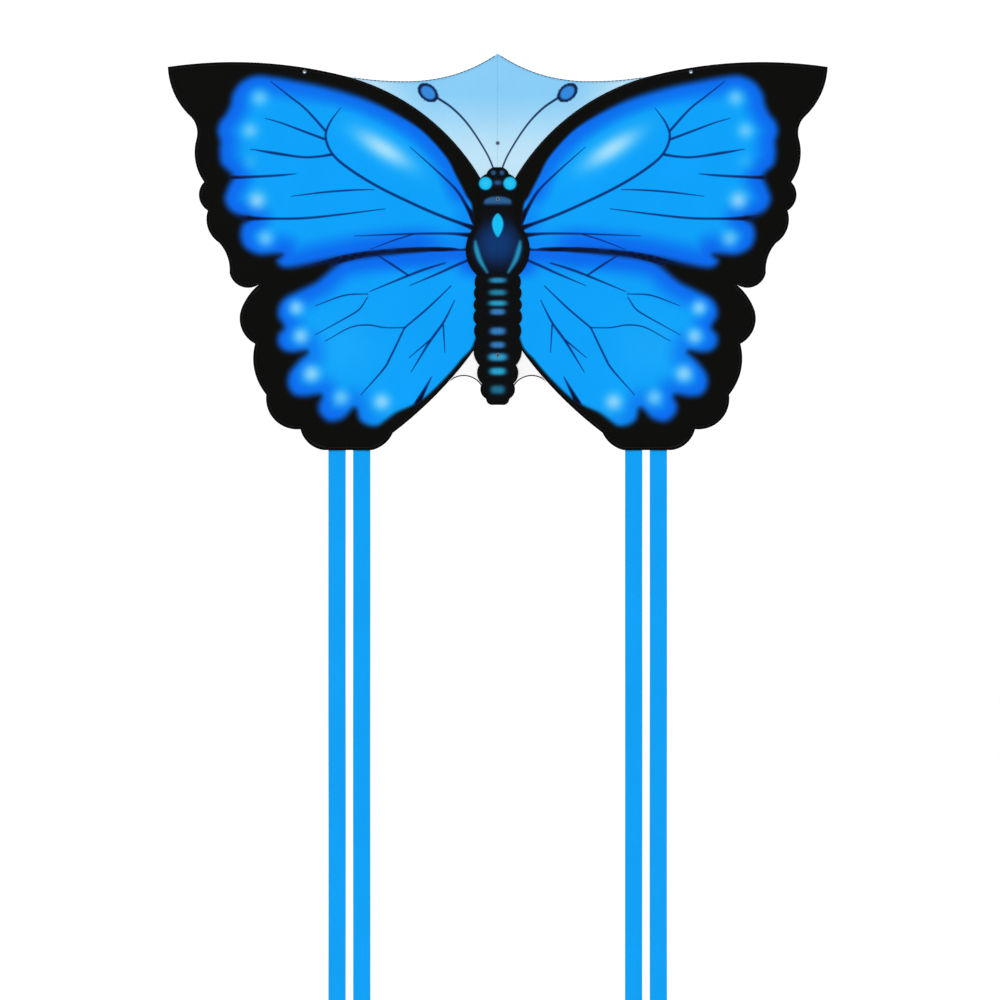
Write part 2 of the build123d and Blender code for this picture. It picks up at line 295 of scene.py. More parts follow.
def make_piece(name, points, faces, material, side=1, values=None, flat_faces=()):
    """A mesh object from points in millimetres, mirrored for the left wing."""
    points = np.array(points, float) * MM
    if side < 0:
        points[:, 0] *= -1
        faces = [tuple(reversed(face)) for face in faces]
    mesh = bpy.data.meshes.new(name)
    mesh.from_pydata([tuple(p) for p in points], [], [tuple(int(i) for i in f) for f in faces])
    mesh.polygons.foreach_set("use_smooth", [True] * len(mesh.polygons))
    for i in flat_faces:
        mesh.polygons[i].use_smooth = False
    for key, numbers in (values or {}).items():
        attribute = mesh.attributes.new(key, "FLOAT", "POINT")
        attribute.data.foreach_set("value", np.asarray(numbers, np.float32))
    mesh.materials.append(material)
    piece = bpy.data.objects.new(name, mesh)
    bpy.context.scene.collection.objects.link(piece)
    return piece


def bend_at_fold(piece):
    """The piece's transform is baked into its mesh."""
    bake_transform(piece)


def thickened(flat, faces, middle, thickness):
    """Front and back of a sheet with its cut edge closed. Returns points, faces and rim faces."""
    count = len(flat)
    front = np.stack([flat[:, 0], middle - thickness / 2, flat[:, 1]], 1)
    back = np.stack([flat[:, 0], middle + thickness / 2, flat[:, 1]], 1)
    edges = dict.fromkeys(edge for a, b, c in faces for edge in ((a, b), (b, c), (c, a)))
    rim = [(b, a, a + count, b + count) for a, b in edges if (b, a) not in edges]
    rear = [(c + count, b + count, a + count) for a, b, c in faces]
    whole = list(faces) + rear + rim
    return np.vstack([front, back]), whole, range(2 * len(faces), len(whole))


def cut_cloth(loop, lines=(), step=GRID_STEP, rim_step=RIM_STEP, holes=()):
    """Flat triangles inside a cut edge, with rows of points along the printed lines."""
    rim = densified(loop, rim_step)
    points, edges = [tuple(p) for p in rim], []
    for line in lines:
        add_rows(points, edges, line, rim)
    for centre, radius in holes:
        add_ring(points, edges, centre, radius)
    near = kdtree.KDTree(len(points))
    for i, (x, z) in enumerate(points):
        near.insert((x, z, 0.0), i)
    near.balance()
    for p in hexagon_grid(loop, step):
        if near.find((p[0], p[1], 0.0))[2] > GRID_CLEARANCE * step:
            points.append(tuple(p))
    made = geometry.delaunay_2d_cdt(
        [Vector(p) for p in points], edges, [list(range(len(rim)))], 1, 0.001
    )
    flat = np.array([tuple(v) for v in made[0]])
    faces = [tuple(f) for f in made[2]]
    for centre, radius in holes:
        away = np.linalg.norm(flat - np.array(centre), axis=1)
        faces = [f for f in faces if max(away[list(f)]) > radius * 1.02]
    used = sorted({i for f in faces for i in f})
    renumber = {old: new for new, old in enumerate(used)}
    return flat[used], [tuple(renumber[i] for i in f) for f in faces]


def densified(loop, step):
    """An outline with its own points kept and long runs divided."""
    points = []
    for a, b in zip(loop, np.roll(loop, -1, axis=0)):
        length = np.linalg.norm(b - a)
        if length < 1e-3:
            continue
        count = max(1, int(round(length / step)))
        for k in range(count):
            points.append(a + (b - a) * k / count)
    return np.array(points)


def hexagon_grid(loop, step):
    """Points in a honeycomb over the outline's box, shaken a little."""
    low, high = loop.min(0) + 0.5, loop.max(0) - 0.5
    rows = int((high[1] - low[1]) / (step * GRID_ROW)) + 1
    columns = int((high[0] - low[0]) / step) + 1
    grid = [(low[0] + (c + 0.5 * (r % 2)) * step, low[1] + r * step * GRID_ROW)
            for r in range(rows) for c in range(columns)]
    grid = np.array(grid) + RNG.uniform(-GRID_SHAKE, GRID_SHAKE, (len(grid), 2)) * step
    return grid[inside(grid, loop)]


def add_rows(points, edges, line, rim):
    """Rows of points along a printed line: its middle, its edges and just outside them."""
    middle, widths = line[:, :2], line[:, 2]
    across = normals_of(middle)
    for side, past in ((-1, 0.9), (-1, 0.0), (0, 0.0), (1, 0.0), (1, 0.9)):
        row = middle + across * (side * (widths / 2 + past))[:, None]
        good = inside(row, rim) & (distance_to(row, rim, closed=True)[0] > 0.8)
        last = None
        for p, ok in zip(row, good):
            if ok:
                points.append(tuple(p))
                if last is not None:
                    edges.append((last, len(points) - 1))
                last = len(points) - 1
            else:
                last = None


def add_ring(points, edges, centre, radius):
    """A ring of points round a hole."""
    first = len(points)
    for k in range(HOLE_POINTS):
        a = 2 * math.pi * k / HOLE_POINTS
        points.append((centre[0] + radius * math.cos(a), centre[1] + radius * math.sin(a)))
        edges.append((first + k, first + (k + 1) % HOLE_POINTS))


def both_faces(values):
    """Values for the front and back of a sheet, with a mark for the back."""
    count = len(next(iter(values.values())))
    doubled = {key: np.concatenate([v, v]) for key, v in values.items()}
    doubled["rear"] = np.concatenate([np.zeros(count), np.ones(count)])
    return doubled


# ---------------------------------------------------------------- print of the wings

# Where the blue stops and the black border begins, round the upper and the lower wing
UPPER_BLUE = (
    (50, -20), (62, 8), (82, 47), (102, 84), (148, 134), (200, 168), (251, 193), (300, 210),
    (350, 223), (389, 231), (438, 240), (475, 243), (504, 231), (521, 208), (526, 186),
    (535, 167), (547, 151), (551, 132), (546, 112), (547, 92), (543, 68), (522, 45), (530, 24),
    (537, 0), (527, -22), (504, -34), (486, -38), (502, -52), (506, -75), (496, -97), (470, -110),
    (440, -109), (424, -110), (434, -122), (424, -134), (404, -135), (368, -128), (332, -120),
    (245, -105), (157, -97), (60, -95),
)
LOWER_BLUE = (
    (58, -103), (157, -105), (232, -111), (276, -116), (308, -124), (334, -144), (357, -163),
    (393, -181), (418, -194), (430, -210), (432, -230), (421, -252), (431, -267), (432, -284),
    (421, -298), (402, -302), (374, -300), (394, -321), (410, -343), (413, -365), (402, -384),
    (380, -389), (348, -386), (353, -408), (348, -425), (330, -438), (304, -432), (281, -411),
    (272, -434), (256, -445), (236, -446), (217, -433), (197, -419), (170, -407), (140, -388),
    (101, -350), (72, -316), (46, -282), (33, -199),
)

# Veins: (x, z, width) from the root of the wing outwards
UPPER_VEINS = (
    ((45, -58, 12), (72, -48, 7.0), (110, -34, 6.0), (157, -14, 5.6), (232, 22, 5.4),
     (289, 57, 5.4), (324, 87, 5.0), (338, 120, 4.8), (331, 148, 3.6), (310, 178, 1.0)),
    ((338, 133, 5.0), (377, 176, 4.0), (412, 204, 3.0), (446, 231, 1.2)),
    ((340, 117, 5.0), (385, 134, 4.0), (425, 149, 2.6), (456, 158, 1.0)),
    ((326, 87, 5.6), (352, 83, 4.6), (385, 82, 4.2), (440, 90, 5.4), (482, 97, 1.2)),
    ((397, 49, 1.2), (430, 46, 4.2), (487, 43, 5.6), (520, 42, 8.0), (556, 42, 13.0)),
    ((245, 18, 1.2), (285, 17, 3.0), (340, 13, 3.2), (405, 5, 1.0)),
    ((224, -20, 1.2), (310, -31, 3.6), (380, -38, 4.6), (450, -39, 5.6), (520, -38, 14.0)),
    ((44, -44, 15), (60, -16, 8.0), (80, 16, 5.4), (113, 49, 3.6), (171, 101, 1.0)),
    ((45, -73, 15), (66, -70, 8.0), (100, -68, 4.8), (167, -69, 3.8), (281, -73, 1.0)),
    ((167, -70, 2.8), (205, -82, 2.4), (247, -98, 1.0)),
)
DIVIDER = (((48, -101, 3.0), (72, -100, 4.0), (100, -99, 8.6), (157, -100, 9.6),
            (245, -107, 11.0), (300, -117, 14.0), (336, -128, 16.0), (374, -140, 17.0)),)
LOWER_VEINS = (
    ((238, -110, 2.6), (205, -131, 4.4), (175, -151, 3.6)),
    ((104, -126, 2.6), (142, -138, 4.6), (176, -151, 4.4), (251, -182, 1.2)),
    ((60, -121, 5.6), (90, -134, 5.0), (118, -147, 4.0), (172, -170, 1.0)),
    ((259, -187, 1.4), (302, -190, 2.6), (355, -209, 1.0)),
    ((257, -195, 1.6), (271, -216, 2.6), (293, -231, 2.4), (356, -266, 1.0)),
    ((183, -253, 2.0), (222, -253, 2.0), (255, -248, 2.4), (290, -253, 2.0), (336, -278, 1.0)),
    ((92, -171, 1.6), (138, -215, 3.4), (184, -254, 3.2)),
    ((184, -255, 3.2), (211, -311, 3.8), (225, -335, 3.4), (268, -384, 1.2)),
    ((86, -202, 1.4), (107, -243, 4.2), (134, -281, 4.6), (170, -340, 1.2)),
    ((134, -278, 3.0), (173, -311, 1.2)),
    ((107, -248, 3.0), (104, -300, 1.2)),
    ((131, -352, 2.0), (146, -380, 8.0), (158, -402, 12.0)),
)

# Pale spots: (x, z, radius, strength)
SPOTS = (
    (468, 199, 25, 0.46), (487, 134, 25, 0.46), (487, 73, 24, 0.16), (473, -3, 27, 0.64),
    (456, -78, 25, 0.46), (396, -214, 23, 0.60), (387, -270, 24, 0.60), (366, -344, 26, 0.66),
    (308, -391, 25, 0.48), (228, -399, 26, 0.66), (296, -290, 115, 0.08),
)
# The long highlight across the upper wing's cell: centre, half length, half width and slope
CELL_GLOW = ((224, 98), 78.0, 25.0, 32.0)

# How soft the blue's edge is at the root of the wing, and how much softer it is further out
ROOT_SOFTNESS = 3.0
TIP_SOFTNESS = 8.0
# Printed lines: no line inks the cloth further away than this, and wider lines have a dark core
LINE_REACH = 12.0
WIDE_LINE = 5.0
PRINT_STEP = 4.0


def ink_along(points, lines, softness=0.8):
    """How much of each printed line covers each point."""
    cover = np.zeros(len(points))
    for line in lines:
        low, high = line[:, :2].min(0) - LINE_REACH, line[:, :2].max(0) + LINE_REACH
        close = np.flatnonzero(((points > low) & (points < high)).all(1))
        if not len(close):
            continue
        d, place = distance_to(points[close], line[:, :2])
        width = np.interp(place, steps_along(line[:, :2]), line[:, 2])
        share = np.clip((width / 2 + softness / 2 - d) / softness, 0.0, 1.0)
        cover[close] = np.maximum(cover[close], share)
    return cover


def with_width(line, width):
    """An (x, z) line with a width at each point."""
    return np.column_stack([line, np.broadcast_to(width, len(line))])


def wide_cores(lines):
    """The dark cores of the printed lines, which fade in where a line is wide."""
    cores = []
    for line in lines:
        width = line[:, 2]
        core = np.minimum(2.2 * width - 15.0, width - 3.0)
        cores.append(with_width(line[:, :2], core)[width > WIDE_LINE])
    return [core for core in cores if len(core) > 2]


def crisp_edges():
    """The blue's edges near the root, where they are sharpest, as wide as they are soft."""
    edges = []
    for outline in (UPPER_BLUE, LOWER_BLUE):
        loop = flowing(outline, PRINT_STEP, closed=True)
        loop = np.roll(loop, -int(np.argmax(loop[:, 0])), axis=0)
        edges.append(with_width(loop[loop[:, 0] < 200.0], 2 * ROOT_SOFTNESS))
    return edges


def oval(points, centre, long_half, short_half, slope):
    """Squared distance from a tilted oval's centre, 1 at its edge."""
    a = math.radians(slope)
    gap = points - np.array(centre, float)
    u = gap @ np.array([math.cos(a), math.sin(a)])
    v = gap @ np.array([-math.sin(a), math.cos(a)])
    return (u / long_half) ** 2 + (v / short_half) ** 2


def hem_mask(points, runs, width, softness):
    """1 on the turned edge that runs along some lines, 0 elsewhere."""
    near = np.min([distance_to(points, run)[0] for run in runs], axis=0)
    return 1.0 - ease(near, width - softness, width + softness)


def wing_print(points, runs, lines):
    """The wing's printed masks at each point: blue, deep, pale, ink and hem."""
    x, z = points[:, 0], points[:, 1]
    softness = ROOT_SOFTNESS + TIP_SOFTNESS * ease(x, 90.0, 330.0)
    blue = np.zeros(len(points))
    deep = np.zeros(len(points))
    for outline, is_lower in ((UPPER_BLUE, False), (LOWER_BLUE, True)):
        field = depth_inside(points, flowing(outline, 5.0, closed=True))
        share = ease(field, -softness, softness)
        edge = 1.0 - ease(field, 10.0, 58.0)
        if is_lower:
            edge *= 1.0 - ease(x, 330.0, 180.0) * ease(z, -130.0, -170.0)
        else:
            edge *= 1.0 - 0.55 * ease(x, 160.0, 90.0) * ease(z, 10.0, -20.0)
        deep = np.where(share > blue, edge, deep)
        blue = np.maximum(blue, share)
    pale = np.zeros(len(points))
    for sx, sz, radius, strength in SPOTS:
        glow = np.exp(-2.2 * oval(points, (sx, sz), radius, radius, 0))
        pale = np.maximum(pale, strength * glow)
        deep *= 1.0 - 0.6 * glow
    centre, long_half, short_half, slope = CELL_GLOW
    shine = oval(points, centre, long_half, short_half, slope)
    pale = np.maximum(pale, 0.82 * np.exp(-1.6 * shine))
    veil = np.exp(-1.1 * oval(points, centre, 140.0, 44.0, slope))
    ink = ink_along(points, lines)
    return {
        "blue": blue,
        "deep": np.clip(deep - 0.8 * veil, 0.0, 1.0),
        "pale": pale,
        "ink": ink * ease(blue, 0.0, 0.5),
        "root": ink_along(points, wide_cores(lines), 4.0) * ease(blue, 0.0, 0.5),
        "hem": hem_mask(points, runs, HEM_WIDTH, 0.6),
    }


# ---------------------------------------------------------------- print of the other panels

ANTENNA = ((8, 58, 3.0), (14, 74, 3.0), (24, 94, 3.0), (45, 128, 3.2), (67, 157, 3.6),
           (92, 181, 4.0), (119, 199, 4.6))
CLUB = ((137, 209), 22.5, 15.5, 40.0)


def top_print(points, runs, lines):
    """The top panel's masks: tint, ink, club and hem."""
    x, z = points[:, 0], points[:, 1]
    high = ease(z, 70.0, 250.0)
    tint = np.clip(0.28 + 0.85 * high - 0.85 * ease(x, 120.0, 290.0), 0.0, 1.0)
    centre, long_half, short_half, slope = CLUB
    place = np.sqrt(oval(points, centre, long_half, short_half, slope))
    club = 1.0 - ease(place, 0.95, 1.03)
    rim = ease(place, 0.60, 0.84) * club
    return {
        "tint": tint,
        "club": club,
        "ink": np.maximum(ink_along(points, lines), rim),
        "hem": hem_mask(points, runs, TOP_HEM_WIDTH, 0.5),
    }


# Marks on the head and thorax. Round ones are a centre and a radius, ovals a centre and two half
# widths, and the streak down each side is (x, z, width)
EYE = ((24.0, 30.5), 14.8)
FEELER_ROOT = ((8.4, 51.5), 6.6)
BROW = ((0.0, 32.0), 11.0, 7.0)
THORAX = ((0.0, -88.0), 50.0, 48.0)
COLLAR_HALF, COLLAR_TOP, COLLAR_END = 32.0, 5.5, -11.5
TEAR_TOP, TEAR_BOTTOM, TEAR_HALF = -28.0, -76.0, 11.2
STREAK = ((44, -84, 2), (42, -98, 7), (35, -120, 7), (21, -144, 2))
# Bands across the abdomen: (z, half width, half height, teal share, violet share)
BANDS = (
    (-160, 18, 6.0, 0.82, 0.2), (-184, 19, 7.0, 0.76, 0.0), (-205, 20, 6.5, 0.94, 0.0),
    (-222, 16, 7.0, 0.20, 0.90), (-260, 17, 8.5, 0.10, 0.94), (-287, 16, 7.5, 0.10, 0.90),
    (-311, 20, 8.5, 1.00, 0.2), (-339, 18, 8.5, 1.00, 0.0), (-375, 16, 10.0, 0.66, 0.0),
)


def body_print(points, edge_line):
    """The butterfly's body: masks for cyan, teal, violet, navy and pale."""
    x, z = points[:, 0], points[:, 1]
    eye, root = (np.linalg.norm(points - np.array(centre), axis=1) / radius
                 for centre, radius in (EYE, FEELER_ROOT))
    share = np.clip((TEAR_TOP - z) / (TEAR_TOP - TEAR_BOTTOM), 0.0, 1.0)
    tear_half = TEAR_HALF * np.sin(math.pi * share ** 0.85) ** 0.8
    tear = ease(x - tear_half, 2.0, -2.0) * ((z < TEAR_TOP) & (z > TEAR_BOTTOM))
    cyan = np.maximum(1.0 - ease(eye, 0.72, 1.04), tear)
    pale = 0.18 * (1.0 - ease(eye, 0.1, 0.8))
    streak = flowing(STREAK, 3.0)
    d, place = distance_to(points, streak[:, :2])
    width = np.interp(place, steps_along(streak[:, :2]), streak[:, 2])
    teal = 0.85 * ease(d, width / 2 + 5.0, width / 2 - 3.0)
    arch = np.sqrt(np.clip(1.0 - (x / COLLAR_HALF) ** 2, 0.0, 1.0))
    collar_high = COLLAR_END + (COLLAR_TOP - COLLAR_END) * arch
    violet = 0.70 * ease(z, collar_high + 3.5, collar_high - 3.5)
    violet *= ease(z, COLLAR_END - 5.0, COLLAR_END + 6.0) * ease(x, COLLAR_HALF, COLLAR_HALF - 9.0)
    violet = np.maximum(violet, 0.62 * (1.0 - ease(root, 0.3, 1.2)))
    centre, half, tall = BROW
    violet = np.maximum(violet, 0.72 * np.exp(-1.6 * oval(points, centre, half, tall, 0)))
    for band_z, half, tall, teal_share, violet_share in BANDS:
        place = np.abs(x / half) ** 3 + np.abs((z - band_z) / tall) ** 2.4
        band = np.exp(-1.1 * place ** 1.3)
        teal = np.maximum(teal, band * teal_share)
        violet = np.maximum(violet, band * violet_share)
    centre, half, tall = THORAX
    navy = np.exp(-1.0 * oval(points, centre, half, tall, 0) ** 1.5)
    edge_distance, _ = distance_to(points, edge_line)
    return {
        "cyan": cyan,
        "pale": pale,
        "teal": teal,
        "violet": violet,
        "navy": navy * ease(edge_distance, 3.0, 15.0),
    }


# ---------------------------------------------------------------- materials

PRINT_GAMMA = 2.2

# The weave: radians of thread wave and ripstop squares in a metre, how much painted shade
# darkens the gaps between the threads and how high the threads stand
THREAD_WAVE = 4800.0
SQUARES = 190.0
PAINTED_GAP_SHADE = 0.06
WEAVE_HEIGHT = 0.00006
# Handling: how much dye is left, how much the roughness varies and how high the creases stand
DYE_LOW, DYE_HIGH = 0.84, 0.95
ROUGHNESS_SPREAD = 0.08
CREASE_HEIGHT = 0.0009
# Rolled and moulded stock: the depth of its streaks, and how much finer than them its scuffs are
STREAK_DEPTH = 0.0002
SCUFF_SHARE = 2.2


def ink_colour(red, green, blue):
    """A colour on the printer's scale of 0 to 255. Inks are mixed on this scale."""
    return (red / 255.0, green / 255.0, blue / 255.0, 1.0)


def linear(red, green, blue):
    """A colour given as 0 to 255 values, as the renderer wants it."""
    parts = [part ** PRINT_GAMMA for part in ink_colour(red, green, blue)[:3]]
    return (*parts, 1.0)


def as_light(tree, colour):
    """Mixed inks, as the renderer wants them."""
    return add_node(tree, "ShaderNodeGamma", Color=colour, Gamma=PRINT_GAMMA).outputs[0]


def add_node(tree, kind, **inputs):
    """A shader node. Inputs are constants or sockets, by name or as i0, i1 and so on.

    A name that starts with an underscore sets a property of the node instead.
    """
    node = tree.nodes.new(kind)
    for key, value in inputs.items():
        if key.startswith("_"):
            setattr(node, key[1:], value)
    for key, value in inputs.items():
        if key.startswith("_"):
            continue
        is_number = key[0] == "i" and key[1:].isdigit()
        socket = node.inputs[int(key[1:]) if is_number else key]
        if isinstance(value, bpy.types.NodeSocket):
            tree.links.new(value, socket)
        else:
            socket.default_value = value
    return node


def maths(tree, operation, a, b=0.0):
    return add_node(tree, "ShaderNodeMath", _operation=operation, i0=a, i1=b).outputs[0]


def mixed(tree, share, a, b):
    """Colour a turning into colour b."""
    node = add_node(tree, "ShaderNodeMix", _data_type="RGBA", i0=share, i6=a, i7=b)
    return node.outputs[2]


def spread(tree, value, low, high):
    """A value from 0 to 1, spread from low to high."""
    node = add_node(tree, "ShaderNodeMapRange", Value=value, **{"To Min": low, "To Max": high})
    return node.outputs["Result"]


def stored(tree, name):
    """A value stored at the mesh's points."""
    return add_node(tree, "ShaderNodeAttribute", _attribute_name=name).outputs["Fac"]


def new_group(name, inputs, outputs):
    """An empty node group with float inputs, and its input and output nodes."""
    group = bpy.data.node_groups.new(name, "ShaderNodeTree")
    for label, default in inputs:
        socket = group.interface.new_socket(label, in_out="INPUT", socket_type="NodeSocketFloat")
        socket.default_value = default
    for label in outputs:
        group.interface.new_socket(label, in_out="OUTPUT", socket_type="NodeSocketFloat")
    return group, group.nodes.new("NodeGroupInput"), group.nodes.new("NodeGroupOutput")


def weave_group():
    """Plain weave with ripstop threads: their height, and painted shade that darkens the gaps."""
    inputs = (("Thread wave", THREAD_WAVE), ("Squares", SQUARES))
    group, given, result = new_group("Ripstop weave", inputs, ("Height", "Painted gap shade"))
    place = add_node(group, "ShaderNodeTexCoord").outputs["Object"]
    parts = add_node(group, "ShaderNodeSeparateXYZ", Vector=place)
    waves, cords = [], []
    for axis in ("X", "Z"):
        turn = maths(group, "MULTIPLY", parts.outputs[axis], given.outputs["Thread wave"])
        waves.append(maths(group, "ABSOLUTE", maths(group, "SINE", turn)))
        square = maths(group, "MULTIPLY", parts.outputs[axis], given.outputs["Squares"])
        cords.append(maths(group, "LESS_THAN", maths(group, "FRACT", square), 0.10))
    threads = maths(group, "MULTIPLY", *waves)
    grid = maths(group, "MAXIMUM", *cords)
    height = maths(group, "ADD", maths(group, "MULTIPLY", threads, 0.5),
                   maths(group, "MULTIPLY", grid, 0.5))
    group.links.new(height, result.inputs["Height"])
    # Painted shade: the gaps between the threads, where the height dips, come out darker
    group.links.new(maths(group, "SUBTRACT", 1.0, threads), result.inputs["Painted gap shade"])
    return group


def handling_group():
    """Soft creases and uneven dye from handling: a slow shade and a crease height."""
    inputs = (("Size", 9.0), ("Crease size", 26.0))
    group, given, result = new_group("Handling", inputs, ("Shade", "Crease"))
    place = add_node(group, "ShaderNodeTexCoord").outputs["Object"]
    shade = add_node(group, "ShaderNodeTexNoise", Vector=place, Scale=given.outputs["Size"],
                     Detail=3.0, Roughness=0.55)
    crease = add_node(group, "ShaderNodeTexNoise", Vector=place,
                      Scale=given.outputs["Crease size"], Detail=4.0, Roughness=0.6, Distortion=0.8)
    group.links.new(shade.outputs["Fac"], result.inputs["Shade"])
    group.links.new(crease.outputs["Fac"], result.inputs["Crease"])
    return group


def wear_group():
    """Fine streaks and small scuffs on moulded, drawn or rolled stock."""
    inputs = (("Streaks", 180.0), ("Scuffs", 180.0 * SCUFF_SHARE))
    group, given, result = new_group("Streaks and scuffs", inputs, ("Streak", "Scuff"))
    place = add_node(group, "ShaderNodeTexCoord").outputs["Object"]
    streak = add_node(group, "ShaderNodeTexNoise", Vector=place, Scale=given.outputs["Streaks"],
                      Detail=4.0)
    scuff = add_node(group, "ShaderNodeTexVoronoi", Vector=place, Scale=given.outputs["Scuffs"])
    group.links.new(streak.outputs["Fac"], result.inputs["Streak"])
    group.links.new(scuff.outputs["Distance"], result.inputs["Scuff"])
    return group


WEAVE = weave_group()
HANDLING = handling_group()
WEAR = wear_group()


def empty_material(name):
    """A material with only a Principled surface in it."""
    material = bpy.data.materials.new(name)
    material.use_nodes = True
    tree = material.node_tree
    tree.nodes.clear()
    surface = tree.nodes.new("ShaderNodeBsdfPrincipled")
    output = tree.nodes.new("ShaderNodeOutputMaterial")
    tree.links.new(surface.outputs["BSDF"], output.inputs["Surface"])
    return material, tree, surface


def finish_cloth(tree, surface, colour, roughness, specular):
    """Weave, creases, dye variation and painted gap shade on any printed or dyed cloth."""
    weave = add_node(tree, "ShaderNodeGroup", _node_tree=WEAVE)
    handling = add_node(tree, "ShaderNodeGroup", _node_tree=HANDLING)
    dye = spread(tree, handling.outputs["Shade"], DYE_LOW, DYE_HIGH)
    # Painted shade: the cloth's colour is darkened in the gaps between the threads
    gap = maths(tree, "MULTIPLY", weave.outputs["Painted gap shade"], PAINTED_GAP_SHADE)
    tone = maths(tree, "SUBTRACT", dye, gap)
    shaded = add_node(tree, "ShaderNodeVectorMath", _operation="SCALE", i0=colour, Scale=tone)
    tree.links.new(shaded.outputs[0], surface.inputs["Base Color"])
    rough = spread(tree, handling.outputs["Crease"], roughness - ROUGHNESS_SPREAD,
                   roughness + ROUGHNESS_SPREAD)
    tree.links.new(rough, surface.inputs["Roughness"])
    height = maths(tree, "ADD", maths(tree, "MULTIPLY", weave.outputs["Height"], WEAVE_HEIGHT),
                   maths(tree, "MULTIPLY", handling.outputs["Crease"], CREASE_HEIGHT))
    bump = add_node(tree, "ShaderNodeBump", Height=height, Strength=0.6, Distance=1.0)
    tree.links.new(bump.outputs["Normal"], surface.inputs["Normal"])
    surface.inputs["Specular IOR Level"].default_value = specular


def wing_material():
    """Satin polyester printed with the butterfly's wing. The back shows the print fainter."""
    material, tree, surface = empty_material("printed wing cloth")
    mid = mixed(tree, stored(tree, "deep"), ink_colour(10, 162, 254), ink_colour(2, 108, 242))
    field = mixed(tree, stored(tree, "pale"), mid, ink_colour(198, 238, 255))
    black = mixed(tree, stored(tree, "hem"), ink_colour(11, 11, 8), ink_colour(2, 2, 2))
    ground = mixed(tree, stored(tree, "blue"), black, field)
    veined = mixed(tree, stored(tree, "ink"), ground, ink_colour(2, 42, 108))
    inked = mixed(tree, stored(tree, "root"), veined, ink_colour(1, 10, 28))
    rear = maths(tree, "MULTIPLY", stored(tree, "rear"), 0.16)
    faded = mixed(tree, rear, inked, ink_colour(120, 140, 156))
    finish_cloth(tree, surface, as_light(tree, faded), 0.46, 0.05)
    return material


def top_material():
    """Thin pale blue polyester with the feelers printed on it."""
    material, tree, surface = empty_material("pale blue panel cloth")
    base = mixed(tree, stored(tree, "tint"), ink_colour(216, 240, 251), ink_colour(136, 206, 249))
    club = mixed(tree, stored(tree, "club"), base, ink_colour(50, 136, 222))
    inked = mixed(tree, stored(tree, "ink"), club, ink_colour(2, 22, 56))
    hem = maths(tree, "MULTIPLY", stored(tree, "hem"), 0.10)
    hemmed = mixed(tree, hem, inked, ink_colour(70, 130, 180))
    finish_cloth(tree, surface, as_light(tree, hemmed), 0.42, 0.12)
    return material


def body_material():
    """Black polyester printed with the butterfly's body."""
    material, tree, surface = empty_material("printed body cloth")
    dark = mixed(tree, stored(tree, "navy"), ink_colour(3, 6, 10), ink_colour(14, 56, 112))
    teal = mixed(tree, stored(tree, "teal"), dark, ink_colour(44, 166, 212))
    violet = mixed(tree, stored(tree, "violet"), teal, ink_colour(62, 134, 206))
    cyan = mixed(tree, stored(tree, "cyan"), violet, ink_colour(22, 192, 248))
    bright = mixed(tree, stored(tree, "pale"), cyan, ink_colour(150, 226, 255))
    finish_cloth(tree, surface, as_light(tree, bright), 0.44, 0.06)
    return material


def tail_material():
    """White polyester with a black bound edge."""
    material, tree, surface = empty_material("white panel cloth")
    bound = mixed(tree, stored(tree, "hem"), ink_colour(252, 252, 253), ink_colour(24, 24, 26))
    finish_cloth(tree, surface, as_light(tree, bound), 0.45, 0.2)
    return material


def plain_cloth(name, colour, roughness, specular):
    """Dyed cloth with a darker, fuller and a lighter, worn tone."""
    material, tree, surface = empty_material(name)
    noise = add_node(tree, "ShaderNodeTexNoise", Scale=60.0, Detail=2.0)
    low = tuple(0.9 * c for c in colour[:3]) + (1.0,)
    high = tuple(min(1.0, 1.06 * c + 0.002) for c in colour[:3]) + (1.0,)
    finish_cloth(tree, surface, mixed(tree, noise.outputs["Fac"], low, high), roughness, specular)
    return material


def hard_material(name, low, high, roughness, metallic=0.0, streaks=180.0, coat=0.0):
    """Moulded, drawn or rolled stock: two close tones, fine streaks and small scuffs."""
    material, tree, surface = empty_material(name)
    wear = add_node(tree, "ShaderNodeGroup", _node_tree=WEAR, Streaks=streaks,
                    Scuffs=streaks * SCUFF_SHARE)
    tone = mixed(tree, wear.outputs["Streak"], linear(*low), linear(*high))
    tree.links.new(tone, surface.inputs["Base Color"])
    rough = spread(tree, wear.outputs["Scuff"], roughness + 0.14, roughness - 0.04)
    tree.links.new(rough, surface.inputs["Roughness"])
    bump = add_node(tree, "ShaderNodeBump", Height=wear.outputs["Streak"], Strength=0.25,
                    Distance=STREAK_DEPTH)
    tree.links.new(bump.outputs["Normal"], surface.inputs["Normal"])
    surface.inputs["Metallic"].default_value = metallic
    surface.inputs["Coat Weight"].default_value = coat
    return material


WING_CLOTH = wing_material()
TOP_CLOTH = top_material()
BODY_CLOTH = body_material()
TAIL_CLOTH = tail_material()
BLACK_CLOTH = plain_cloth("black binding cloth", linear(16, 16, 18), 0.6, 0.12)
RIBBON_CLOTH = plain_cloth("azure ribbon", linear(10, 163, 254), 0.38, 0.06)
THREAD = hard_material("bonded thread", (8, 8, 9), (26, 26, 28), 0.55, streaks=900.0)
HARD = {
    "glass_fibre": hard_material("pultruded glass fibre", (14, 14, 15), (34, 34, 36), 0.34,
                                 streaks=300.0, coat=0.25),
    "hub_plastic": hard_material("moulded nylon", (16, 16, 17), (30, 30, 31), 0.42),
    "vinyl": hard_material("soft vinyl", (22, 22, 23), (38, 38, 40), 0.5),
    "joiner_tube": hard_material("flexible vinyl tube", (34, 35, 38), (56, 58, 62), 0.36,
                                 coat=0.2),
    "brass": hard_material("gunmetal plated brass", (84, 104, 122), (118, 138, 156), 0.3,
                           metallic=1.0, streaks=420.0),
}


# ---------------------------------------------------------------- shapes that repeat

CIRCLE_POINTS = 40


